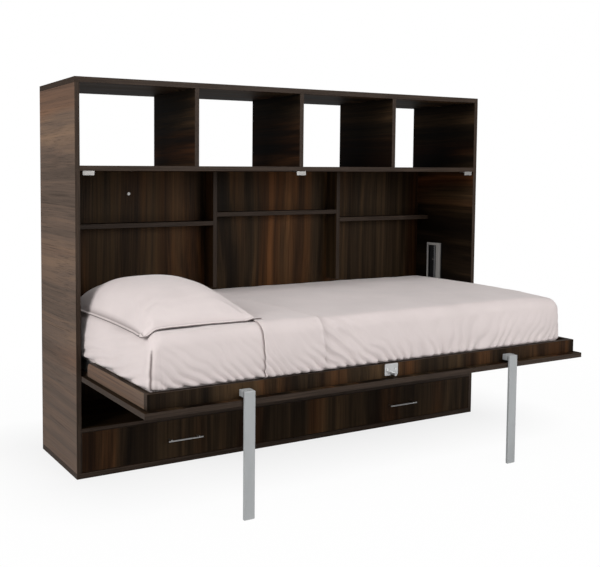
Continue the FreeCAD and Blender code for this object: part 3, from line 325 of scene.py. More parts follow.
@dataclass(frozen=True)
class Walnut:
    """Dark walnut decor: long streaks from near black to warm brown along the grain."""

    name: str
    grain: Axis
    shift: Triple = (0.0, 0.0, 0.0)
    along: float = 0.42
    broad_across: float = 4.0
    bands_across: float = 12.0
    streaks_across: float = 44.0
    lines_across: float = 320.0
    broad_share: float = 0.30
    bands_share: float = 0.38
    streaks_share: float = 0.23
    lines_share: float = 0.09
    black: Colour = (0.0068, 0.0038, 0.0018, 1)
    dark: Colour = (0.0165, 0.0096, 0.0047, 1)
    brown: Colour = (0.0345, 0.0208, 0.0104, 1)
    warm: Colour = (0.0640, 0.0365, 0.0172, 1)
    pale: Colour = (0.1050, 0.0600, 0.0290, 1)
    russet: Colour = (1.24, 0.90, 0.68, 1)
    roughness: float = 0.5
    gloss: float = 0.06
    tone_shares: tuple[float, ...] = (0.37, 0.45, 0.51, 0.58, 0.66)
    layer_rough: float = 0.55
    line_height: float = 0.4 * MM

    def make(self) -> bpy.types.Material:
        """The material: broad bands, streaks and fine lines added up and read off a brown ramp."""
        graph = Graph(self.name)
        slow = graph.cloud(drawn_out(self.grain, 2.5, 1.1), detail=1.0, rough=0.5, shift=self.shift)
        wander = graph.add("ShaderNodeCombineXYZ", {0: slow, 1: slow, 2: slow}).outputs[0]

        def layer(across: float, along_share: float, detail: float, bend: float) -> Socket:
            """One layer of the figure: noise drawn out along the grain and bent by the slow wander."""
            place = graph.place(drawn_out(self.grain, across, self.along * along_share), self.shift)
            return graph.noise(graph.bent(place, wander, bend), detail, self.layer_rough)

        broad = layer(self.broad_across, 0.6, detail=1.0, bend=0.5)
        bands = layer(self.bands_across, 1.0, detail=2.0, bend=1.2)
        streaks = layer(self.streaks_across, 1.6, detail=3.0, bend=3.0)
        lines = layer(self.lines_across, 9.0, detail=2.0, bend=9.0)
        tint = layer(self.bands_across * 0.45, 0.8, detail=1.0, bend=0.7)
        figure = graph.maths("MULTIPLY", broad, self.broad_share)
        finer = ((bands, self.bands_share), (streaks, self.streaks_share), (lines, self.lines_share))
        for part, share in finer:
            figure = graph.maths("ADD", figure, graph.maths("MULTIPLY", part, share))
        tones = (self.black, self.dark, self.brown, self.warm, self.pale)
        colour = graph.ramp(figure, list(zip(self.tone_shares, tones)))
        reddened = graph.mix(1.0, colour, self.russet, "MULTIPLY")
        colour = graph.mix(graph.span(tint, 0.50, 0.66, 0.0, 1.0), colour, reddened)
        pores = graph.span(lines, 0.30, 0.46, 0.68, 1.0)
        colour = graph.mix(1.0, colour, pores, "MULTIPLY")
        rough = graph.span(streaks, 0.3, 0.7, self.roughness - 0.05, self.roughness + 0.09)
        normal = graph.bump(lines, 0.25, self.line_height)
        return graph.surface(Base_Color=colour, Roughness=rough, Specular_IOR_Level=self.gloss, Normal=normal)


@dataclass(frozen=True)
class EdgeBand:
    """The strip glued on a board's edge: a paler, greyer brown with short fine lines."""

    name: str
    grain: Axis
    dark: Colour = (0.0210, 0.0132, 0.0088, 1)
    light: Colour = (0.0500, 0.0330, 0.0230, 1)
    worn: Colour = (0.0720, 0.0500, 0.0360, 1)
    lines_across: float = 260.0
    lines_along: float = 5.0
    wear_scale: float = 9.0
    gloss: float = 0.12
    line_height: float = 0.3 * MM

    def make(self) -> bpy.types.Material:
        """The material: fine lines along the strip and a little rubbed paler wear."""
        graph = Graph(self.name)
        stretch = drawn_out(self.grain, self.lines_across, self.lines_along)
        lines = graph.cloud(stretch, detail=3.0, rough=0.6, shift=(3.1, 1.7, 0.4))
        wear = graph.cloud(even(self.wear_scale), detail=3.0, rough=0.6)
        colour = graph.ramp(lines, [(0.32, self.dark), (0.66, self.light)])
        colour = graph.mix(graph.span(wear, 0.55, 0.8, 0.0, 0.35), colour, self.worn)
        rough = graph.span(wear, 0.3, 0.7, 0.42, 0.54)
        normal = graph.bump(lines, 0.2, self.line_height)
        return graph.surface(Base_Color=colour, Roughness=rough, Specular_IOR_Level=self.gloss, Normal=normal)


@dataclass(frozen=True)
class PlainWood:
    """Pale birch, for the slats, the wall rails and the drawer box."""

    name: str
    grain: Axis
    light: Colour = (0.52, 0.38, 0.24, 1)
    dark: Colour = (0.36, 0.24, 0.14, 1)
    pore_depth: float = 0.4 * MM

    def make(self) -> bpy.types.Material:
        """The material: straight pale grain with small pores."""
        graph = Graph(self.name)
        grain = graph.cloud(drawn_out(self.grain, 70.0, 4.0), detail=4.0, rough=0.6, shift=(0.3, 0.2, 0.1))
        pores = graph.cloud(drawn_out(self.grain, 500.0, 40.0), detail=2.0, rough=0.5)
        colour = graph.ramp(grain, [(0.35, self.dark), (0.62, self.light)])
        colour = graph.mix(graph.span(pores, 0.28, 0.4, 0.35, 0.0), colour, self.dark)
        normal = graph.bump(pores, 0.3, self.pore_depth)
        return graph.surface(Base_Color=colour, Roughness=0.55, Normal=normal)


@dataclass(frozen=True)
class Metal:
    """Brushed or plated metal: fine strokes in its roughness and bump, and faint handling marks."""

    name: str
    colour: Colour = (0.62, 0.62, 0.62, 1)
    roughness: float = 0.3
    strokes: Triple = (40.0, 900.0, 900.0)
    depth: float = 0.2 * MM

    def make(self) -> bpy.types.Material:
        """The material: strokes drawn out along one direction over slow cloudy marks."""
        graph = Graph(self.name)
        strokes = graph.cloud(self.strokes, detail=2.0, rough=0.5)
        marks = graph.cloud(even(28.0), detail=4.0, rough=0.6, shift=even(0.5))
        colour = graph.mix(graph.span(marks, 0.4, 0.75, 0.0, 0.6), self.colour, shaded(self.colour, 0.78))
        low = self.roughness - 0.07
        high = self.roughness + 0.1
        rough = graph.add("ShaderNodeMix", {0: marks, 2: low, 3: high}).outputs[0]
        normal = graph.bump(strokes, 0.35, self.depth)
        return graph.surface(Base_Color=colour, Metallic=1.0, Roughness=rough, Normal=normal)


@dataclass(frozen=True)
class Paint:
    """Powder coat: a fine orange-peel skin over an even colour."""

    name: str
    colour: Colour
    metallic: float = 0.0
    roughness: float = 0.45
    peel_height: float = 0.2 * MM

    def make(self) -> bpy.types.Material:
        """The material: fine bumps, and cloudy change in colour too small to call a pattern."""
        graph = Graph(self.name)
        peel = graph.cloud(even(900.0), detail=1.0, rough=0.5)
        cloud = graph.cloud((14.0, 14.0, 3.0), detail=3.0, rough=0.6, shift=(2.0, 1.0, 0.0))
        colour = graph.mix(graph.span(cloud, 0.35, 0.7, 0.0, 0.8), self.colour, shaded(self.colour, 0.86))
        rough = graph.span(cloud, 0.3, 0.7, self.roughness - 0.05, self.roughness + 0.07)
        normal = graph.bump(peel, 0.25, self.peel_height)
        return graph.surface(Base_Color=colour, Metallic=self.metallic, Roughness=rough, Normal=normal)


@dataclass(frozen=True)
class Cotton:
    """Sateen cotton: a fine weave on the cloth's own map, with painted shade in its seams and creases."""

    name: str
    colour: Colour = (0.70, 0.615, 0.60, 1)
    threads: float = 900.0
    weave_height: float = 0.12 * MM
    # Painted shade: the colour mixed in where the crease_shade value is high.
    painted_shade_colour: Colour = (0.13, 0.095, 0.09, 1)

    def make(self) -> bpy.types.Material:
        """The material: two sets of threads, slow tone changes, and painted shade where the crease_shade
        value is high.
        """
        graph = Graph(self.name)
        uv = graph.add("ShaderNodeUVMap", uv_map="cloth").outputs[0]
        weave = []
        for direction in ("X", "Y"):
            inputs = {"Vector": uv, "Scale": self.threads, "Distortion": 0.6, "Detail": 1.0}
            wave = graph.add("ShaderNodeTexWave", inputs, wave_type="BANDS", bands_direction=direction)
            weave.append(wave.outputs[1])
        threads = graph.maths("MULTIPLY", weave[0], weave[1])
        cloud = graph.cloud(even(6.0), detail=3.0, rough=0.5, shift=(1.0, 0.0, 0.0))
        slub_place = graph.add("ShaderNodeMapping", {"Vector": uv, "Scale": (300.0, 22.0, 1.0)}).outputs[0]
        slub = graph.noise(slub_place, detail=2.0, rough=0.5)
        deeper = shaded(self.colour, 0.93)
        colour = graph.mix(graph.span(cloud, 0.35, 0.7, 0.0, 1.0), self.colour, deeper)
        colour = graph.mix(graph.span(slub, 0.5, 0.75, 0.0, 0.3), colour, deeper)
        # Painted shade from the crease_shade attribute: seams, folds, hems and contact lines.
        crease_shade = graph.add("ShaderNodeAttribute", attribute_name="crease_shade").outputs["Fac"]
        colour = graph.mix(crease_shade, colour, self.painted_shade_colour)
        height = graph.maths("ADD", graph.maths("MULTIPLY", threads, 0.7), graph.maths("MULTIPLY", slub, 0.3))
        normal = graph.bump(height, 0.35, self.weave_height)
        return graph.surface(Base_Color=colour, Roughness=0.62, Sheen_Weight=0.25, Normal=normal)


@dataclass(frozen=True)
class Ticking:
    """Off-white mattress cover: a quilted knit with fine ribs."""

    name: str = "mattress_knit"
    colour: Colour = (0.68, 0.67, 0.64, 1)
    rib_colour: Colour = (0.55, 0.54, 0.51, 1)
    quilt_height: float = 1 * MM

    def make(self) -> bpy.types.Material:
        """The material: small knitted ribs and a slow quilted swell."""
        graph = Graph(self.name)
        ribs = graph.cloud((700.0, 90.0, 700.0), detail=2.0, rough=0.5)
        quilt = graph.cloud(even(22.0), detail=1.0, rough=0.5)
        colour = graph.mix(graph.span(ribs, 0.3, 0.7, 0.0, 0.4), self.colour, self.rib_colour)
        height = graph.maths("ADD", quilt, graph.maths("MULTIPLY", ribs, 0.2))
        normal = graph.bump(height, 0.5, self.quilt_height)
        return graph.surface(Base_Color=colour, Roughness=0.8, Normal=normal)


@dataclass(frozen=True)
class LiftBoxSteel:
    """Plated steel of a lift box: bright on its outer skin and flange, with painted shade that makes it near
    black deeper inside the box.
    """

    name: str = "lift_box_steel"
    skin: Colour = (0.50, 0.49, 0.47, 1)
    # Painted shade: the near-black colour deep inside the box.
    inside: Colour = (0.012, 0.012, 0.013, 1)
    marked: Colour = (0.36, 0.35, 0.34, 1)
    skin_ends: float = 1020.0 * MM
    inside_starts: float = 1021.5 * MM
    mark_height: float = 0.4 * MM

    def make(self) -> bpy.types.Material:
        """The material: the painted shade hangs on how far the point lies from the bed's middle plane."""
        graph = Graph(self.name)
        along = graph.add("ShaderNodeSeparateXYZ", {0: graph.place(even(1.0))}).outputs[0]
        depth = graph.span(graph.maths("ABSOLUTE", along), self.skin_ends, self.inside_starts, 0.0, 1.0)
        marks = graph.cloud((40.0, 40.0, 9.0), detail=3.0, rough=0.6, shift=(0.3, 0.1, 0.0))
        skin = graph.mix(graph.span(marks, 0.4, 0.7, 0.0, 0.5), self.skin, self.marked)
        # Painted shade: the colour turns near black with depth inside the box.
        colour = graph.mix(depth, skin, self.inside)
        rough = graph.span(marks, 0.3, 0.7, 0.34, 0.5)
        normal = graph.bump(marks, 0.2, self.mark_height)
        return graph.surface(Base_Color=colour, Metallic=0.25, Roughness=rough, Normal=normal)


class Palette:
    """Every finish of the bed, made once."""

    def __init__(self) -> None:
        """Makes the materials."""
        self.veneer = {
            Axis.X: Walnut("walnut_along", Axis.X, shift=(0.0, 4.2, 1.3)).make(),
            Axis.Y: Walnut(
                "walnut_across",
                Axis.Y,
                shift=(2.1, 0.0, 3.7),
                black=(0.0032, 0.0019, 0.0010, 1),
                dark=(0.0070, 0.0042, 0.0022, 1),
                brown=(0.0170, 0.0100, 0.0050, 1),
                warm=(0.0440, 0.0250, 0.0120, 1),
                pale=(0.0850, 0.0480, 0.0230, 1),
                russet=(1.40, 0.90, 0.66, 1),
            ).make(),
            Axis.Z: Walnut("walnut_upright", Axis.Z, shift=(7.7, 1.2, 0.0)).make(),
        }
        self.own_veneer = {
            "back_panel": Walnut(
                "walnut_back",
                Axis.Z,
                shift=(0.6, 2.9, 0.0),
                dark=(0.0180, 0.0105, 0.0052, 1),
                brown=(0.0380, 0.0228, 0.0114, 1),
                warm=(0.0740, 0.0415, 0.0190, 1),
                pale=(0.1300, 0.0730, 0.0340, 1),
            ).make(),
        }
        # Painted sheen: a paler copy of the walnut for the outer faces of the side panels and side rails,
        # standing in for the light and grazing reflection on those faces.
        self.painted_sheen_veneer = Walnut(
            "walnut_painted_sheen",
            Axis.Y,
            shift=(5.3, 0.0, 0.9),
            along=0.45,
            broad_across=3.0,
            bands_across=11.0,
            streaks_across=62.0,
            lines_across=300.0,
            black=(0.076, 0.055, 0.043, 1),
            dark=(0.100, 0.072, 0.056, 1),
            brown=(0.128, 0.089, 0.068, 1),
            warm=(0.164, 0.110, 0.078, 1),
            pale=(0.215, 0.140, 0.094, 1),
            russet=(1.12, 0.96, 0.86, 1),
        ).make()
        self.edge = {
            Axis.X: EdgeBand("edge_band_along", Axis.X).make(),
            Axis.Y: EdgeBand("edge_band_across", Axis.Y).make(),
            Axis.Z: EdgeBand("edge_band_upright", Axis.Z).make(),
        }
        self.birch = PlainWood("plain_birch", Axis.Y).make()
        self.long_birch = PlainWood("long_birch", Axis.X).make()
        self.steel = Metal("brushed_steel", roughness=0.3).make()
        self.zinc = Metal("plated_zinc", colour=(0.35, 0.34, 0.33, 1), roughness=0.42).make()
        self.bright = Metal("bright_steel", colour=(0.78, 0.78, 0.77, 1), roughness=0.22).make()
        self.lift_steel = LiftBoxSteel().make()
        self.leg_paint = Paint("silver_grey_coat", (0.43, 0.445, 0.45, 1), metallic=0.2).make()
        self.frame_paint = Paint("frame_grey_coat", (0.20, 0.205, 0.21, 1), metallic=0.1).make()
        self.cotton = Cotton("sheet_cotton").make()
        self.pillow_cotton = Cotton("pillow_cotton", colour=(0.72, 0.635, 0.62, 1)).make()
        self.ticking = Ticking().make()


# Boards


@dataclass(frozen=True)
class Plate:
    """A flat piece with an outline, softly rounded round both of its faces.

    Attributes:
        corners: Corners of the outline, in order, as two coordinates each.
        radii: Radius of each corner.
        thin: Axis through the piece.
        low: Where it starts along that axis.
        high: Where it ends.
        bevel: Radius of the rounding between faces and rim.
    """

    corners: Points
    radii: Points
    thin: Axis
    low: float
    high: float
    bevel: float
    arc_steps: int = 4
    bevel_steps: int = 3

    def outline(self, inset: float) -> Points:
        """The rounded outline, moved inwards.

        Each corner is an arc about its own centre, and the inset shortens the arc's radius.

        Args:
            inset: How far in the outline moves.

        Returns:
            Two coordinates for each point.
        """
        before = np.roll(self.corners, 1, axis=0) - self.corners
        after = np.roll(self.corners, -1, axis=0) - self.corners
        before /= np.linalg.norm(before, axis=1, keepdims=True)
        after /= np.linalg.norm(after, axis=1, keepdims=True)
        centres = self.corners + (before + after) * self.radii[:, None]
        turn = np.linspace(0, QUARTER_TURN, self.arc_steps + 1)[None, :, None]
        radius = (self.radii - inset)[:, None, None]
        arcs = centres[:, None] - radius * (np.cos(turn) * after[:, None] + np.sin(turn) * before[:, None])
        return arcs.reshape(-1, 2)

    def build(
        self,
        name: str,
        face_materials: tuple[bpy.types.Material, bpy.types.Material],
        rim: bpy.types.Material,
    ) -> bpy.types.Object:
        """Stacks rings of the outline through the thickness and closes them with the two faces.

        Args:
            name: Name of the piece.
            face_materials: Materials of the low face and of the high face.
            rim: Material of the rim and its rounding.

        Returns:
            The piece.
        """
        turn = np.linspace(0, QUARTER_TURN, self.bevel_steps + 1)
        insets = self.bevel * (1 - np.sin(turn))
        depths = self.bevel * (1 - np.cos(turn))
        rings = [(self.low + depth, inset) for depth, inset in zip(depths, insets)]
        rings += [(self.high - depth, inset) for depth, inset in zip(depths[::-1], insets[::-1])]
        flat_axes = [axis for axis in range(3) if axis != self.thin.value]
        layers = []
        for place, inset in rings:
            outline = self.outline(inset)
            layer = np.zeros((len(outline), 3))
            layer[:, flat_axes] = outline
            layer[:, self.thin.value] = place
            layers.append(layer)
        count = len(layers[0])
        points = np.concatenate(layers)
        faces = grid_faces(len(layers), count, closed=True).tolist()
        faces.append(list(range(count))[::-1])
        faces.append(list(range(len(points) - count, len(points))))
        # The two faces have slots 0 and 1, and the rim has slot 2.
        slots = np.full(len(faces), 2)
        slots[-2:] = (0, 1)
        materials = [*face_materials, rim]
        piece = new_piece(name, points, faces, materials, smooth=False, face_materials=slots)
        turn_outwards(piece)
        return piece


def turn_outwards(piece: bpy.types.Object) -> None:
    """Turns every face inside out where the closed mesh has a negative volume."""
    mesh = piece.data
    mesh.calc_loop_triangles()
    points = np.zeros(len(mesh.vertices) * 3)
    corners = np.zeros(len(mesh.loop_triangles) * 3, np.int32)
    mesh.vertices.foreach_get("co", points)
    mesh.loop_triangles.foreach_get("vertices", corners)
    a, b, c = points.reshape(-1, 3)[corners.reshape(-1, 3)].transpose(1, 0, 2)
    if (a * np.cross(b, c)).sum() < 0:
        mesh.flip_normals()


@dataclass(frozen=True)
class Board:
    """One veneered board that takes the place of its CAD node.

    Attributes:
        node: The CAD node.
        grain: Direction of the grain on its faces.
        corner: Radius of each corner of its outline, or one radius for all.
    """

    node: str
    grain: Axis
    corner: float = 1.4 * MM
    bevel: float = 0.9 * MM
    round_corner: tuple[float, float] = (0.0, 0.0)
    round_radius: float = 0.0
    # Whether the outer face gets the paler walnut, a painted sheen.
    painted_sheen_face: bool = False

    def build(self, palette: Palette) -> None:
        """Makes the board from its node's box and hands it over.

        Args:
            palette: The finishes.
        """
        low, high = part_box(self.node)
        sizes = np.array(high) - np.array(low)
        thin = Axis(int(sizes.argmin()))
        flat_axes = [axis for axis in range(3) if axis != thin.value]
        first, second = flat_axes
        corners = np.array(
            [
                (low[first], low[second]),
                (high[first], low[second]),
                (high[first], high[second]),
                (low[first], high[second]),
            ]
        )
        radii = np.full(4, self.corner)
        if self.round_radius:
            away = np.linalg.norm(corners - np.array(self.round_corner), axis=1)
            radii[away.argmin()] = self.round_radius
        longest = Axis(flat_axes[int(sizes[flat_axes].argmax())])
        plate = Plate(corners, radii, thin, low[thin.value], high[thin.value], self.bevel)
        face = palette.own_veneer.get(self.node, palette.veneer[self.grain])
        # Painted sheen: the outer face of an end board gets the paler copy of the walnut.
        outer = palette.painted_sheen_veneer if self.painted_sheen_face else face
        left_side = low[0] + high[0] < 0
        faces = (outer, face) if left_side else (face, outer)
        piece = plate.build(self.node + "_board", faces, palette.edge[longest])
        hand_over(piece, body_of(self.node), "dark_wood", self.node)


class Cabinet:
    """The carcass, its shelves and the wide drawer's front."""

    boards = (
        Board("left_side_panel", Axis.Y, painted_sheen_face=True),
        Board("right_side_panel", Axis.Y, painted_sheen_face=True),
        Board("top_panel", Axis.X),
        Board("cubby_floor", Axis.X),
        Board("cubby_divider_1", Axis.Y),
        Board("cubby_divider_2", Axis.Y),
        Board("cubby_divider_3", Axis.Y),
        Board("bottom_panel", Axis.X),
        Board("drawer_bay_top", Axis.X),
        Board("back_panel", Axis.Z),
        Board("left_shelf_divider", Axis.Z),
        Board("right_shelf_divider", Axis.Z),
        Board("left_shelf", Axis.X),
        Board("centre_shelf", Axis.X),
        Board("right_shelf", Axis.X),
        Board("drawer_front", Axis.Z),
    )

    def build(self, palette: Palette) -> None:
        """Makes every board of the cabinet."""
        for board in self.boards:
            board.build(palette)


@dataclass
class BedPlatform:
    """The tilting platform: two face panels and the four rails that hold the mattress."""

    rail_end_radius: float = 26 * MM

    def build(self, palette: Palette) -> None:
        """Makes the panels and rails.

        Args:
            palette: The finishes.
        """
        Board("upper_face_panel", Axis.Y).build(palette)
        Board("lower_face_panel", Axis.Y).build(palette)
        Board("front_rail", Axis.Z).build(palette)
        Board("rear_rail", Axis.X).build(palette)
        for name in ("left_side_rail", "right_side_rail"):
            _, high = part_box(name)
            rounded = (high[1], high[2])
            radius = self.rail_end_radius
            Board(name, Axis.Z, round_corner=rounded, round_radius=radius, painted_sheen_face=True).build(palette)


@dataclass
class Legs:
    """The two folding legs: flat bars with rounded edges."""

    corner: float = 3 * MM
    bevel: float = 2 * MM

    def build(self, palette: Palette) -> None:
        """Makes both legs from their nodes' boxes.

        Args:
            palette: The finishes.
        """
        for name in ("left_leg", "right_leg"):
            low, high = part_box(name)
            corners = np.array([(low[0], low[2]), (high[0], low[2]), (high[0], high[2]), (low[0], high[2])])
            plate = Plate(corners, np.full(4, self.corner), Axis.Y, low[1], high[1], self.bevel)
            paint = palette.leg_paint
            piece = plate.build(name + "_bar", (paint, paint), paint)
            hand_over(piece, body_of(name), "bright_steel", name)


# Bedding


def waves(x: Points, y: Points, size: float, seed: int, count: int = 9) -> Points:
    """Smooth noise about -1 to 1: a sum of sine waves in random directions with random phases.

    Args:
        x: First coordinate.
        y: Second coordinate.
        size: Usual length of a wave.
        seed: Picks the directions and phases.
        count: How many waves are added.

    Returns:
        The noise at each place.
    """
    random = np.random.default_rng(seed)
    total = np.zeros_like(x)
    for _ in range(count):
        angle = random.uniform(0, FULL_TURN)
        pitch = FULL_TURN / (size * random.uniform(0.6, 1.7))
        total += np.sin((x * math.cos(angle) + y * math.sin(angle)) * pitch + random.uniform(0, FULL_TURN))
    return total / math.sqrt(count)


def fade(value: Points, start: float, end: float) -> Points:
    """A smooth step: 0 before start and 1 after end, or the other way when start is the larger."""
    share = np.clip((value - start) / (end - start), 0, 1)
    return share * share * (3 - 2 * share)


def grid_normals(points: Points) -> Points:
    """Unit normals of a grid surface, from the cross product of its two directions.

    Args:
        points: Rows, columns and three coordinates.

    Returns:
        A normal for each point, in the same layout.
    """
    across = np.gradient(points, axis=1)
    along = np.gradient(points, axis=0)
    normal = np.cross(along, across)
    length = np.linalg.norm(normal, axis=2, keepdims=True)
    return normal / np.maximum(length, 1e-12)


@dataclass
class MattressForm:
    """The made-up mattress as arches over the bed, rounded along the top edges and at the plan's corners.

    Attributes:
        low: Lowest corner of the form.
        high: Highest corner.
        edge: Radius between the sides and the top.
        corner_left: Plan radius at the pillow end.
        corner_right: Plan radius at the foot end.
        foot_sag: How much lower the top lies at the foot's front corner.
    """

    low: Vector
    high: Vector
    edge: float = 48 * MM
    corner_left: float = 20 * MM
    corner_right: float = 78 * MM
    foot_sag: float = 17 * MM
    sag_length: float = 190 * MM
    sag_margin: float = 10 * MM
    sag_starts: float = 200 * MM
    sag_full: float = 440 * MM
    closed_reach_share: float = 0.08
    arc_height_share: float = 0.9
    bunched_share: float = 0.55
    leg_columns: int = 30
    arc_columns: int = 10
    top_columns: int = 58

    def inset(self, distance: Points, radius: float) -> Points:
        """How far a quarter circle has come in at a distance from the end: radius minus its height."""
        away = np.clip(radius - distance, 0, radius)
        return radius - np.sqrt(radius**2 - away**2)

    def arches(self, x: Points, grow: Points, cap: Points) -> Points:
        """Arches over the bed: up the front, over the edge, across, over the edge and down the back.

        Args:
            x: Place of each arch along the bed.
            grow: How far each arch stands off the form.
            cap: 1 for a whole arch, and down to 0 where arches close an end face.

        Returns:
            Rows of arches, columns along each arch, three coordinates.
        """
        from_left = x - self.low[0] + grow
        from_right = self.high[0] - x + grow
        plan = self.inset(from_left, self.corner_left) + self.inset(from_right, self.corner_right)
        drop = self.inset(from_left, self.edge) + self.inset(from_right, self.edge)
        half = (self.high[1] - self.low[1]) / 2
        middle = (self.high[1] + self.low[1]) / 2
        reach = (half + grow - plan) * (self.closed_reach_share + (1 - self.closed_reach_share) * cap)
        bottom = np.full_like(x, self.low[2])
        top = bottom + (self.high[2] + grow - drop - bottom) * cap
        radius = np.minimum(self.edge, (top - bottom) * self.arc_height_share)
        leg = np.linspace(0, 1, self.leg_columns)[None, :]
        turn = np.linspace(0, QUARTER_TURN, self.arc_columns + 2)[None, 1:-1]
        across = np.linspace(-1, 1, self.top_columns)[None, :]
        reach, bottom, top, radius = (value[:, None] for value in (reach, bottom, top, radius))
        leg_y = np.broadcast_to(-reach, (len(x), self.leg_columns))
        leg_z = bottom + leg * (top - radius - bottom)
        arc_y = -reach + radius * (1 - np.cos(turn))
        arc_z = top - radius + radius * np.sin(turn)
        top_y = across * (reach - radius)
        top_z = np.broadcast_to(top, (len(x), self.top_columns))
        y = np.concatenate([leg_y, arc_y, top_y, -arc_y[:, ::-1], -leg_y[:, ::-1]], axis=1) + middle
        z = np.concatenate([leg_z, arc_z, top_z, arc_z[:, ::-1], leg_z[:, ::-1]], axis=1)
        columns = np.broadcast_to(x[:, None], y.shape)
        height_share = (z - bottom) / (top - bottom)
        z = z - self.corner_sag(columns, y - middle) * height_share
        return np.stack([columns, y, z], axis=-1)

    def corner_sag(self, x: Points, off_middle: Points) -> Points:
        """How much lower the top lies at the foot's front corner, where people sit down."""
        towards_foot = fade(x, self.high[0] - self.sag_length, self.high[0] - self.sag_margin)
        return self.foot_sag * towards_foot * fade(-off_middle, self.sag_starts, self.sag_full)

    def stations(self, start: float, stop: float, count: int) -> Points:
        """Places along the bed, closer together near both ends of the span.

        Args:
            start: First place.
            stop: Last place.
            count: How many places there are.

        Returns:
            The places, in order.
        """
        share = (1 - np.cos(np.linspace(0, math.pi, count))) / 2
        even = np.linspace(0, 1, count)
        return start + (stop - start) * (self.bunched_share * share + (1 - self.bunched_share) * even)

    def corner_stations(self, count: int) -> Points:
        """Places that cut the plan's left corner arc into equal turns: radius times one minus the cosine."""
        turn = np.linspace(0, QUARTER_TURN, count)
        return self.low[0] + self.corner_left * (1 - np.cos(turn))


def cloth_map(points: Points) -> Points:
    """The flat cloth's two coordinates: lengths measured along the middle row and along each column.

    Args:
        points: Rows, columns and three coordinates.

    Returns:
        Two coordinates for each point.
    """
    along = np.linalg.norm(np.diff(points, axis=0), axis=2).mean(axis=1)
    across = np.linalg.norm(np.diff(points, axis=1), axis=2)
    u = np.concatenate([[0], np.cumsum(along)])
    v = np.concatenate([np.zeros((len(points), 1)), np.cumsum(across, axis=1)], axis=1)
    return np.stack([np.broadcast_to(u[:, None], v.shape), v], axis=-1)


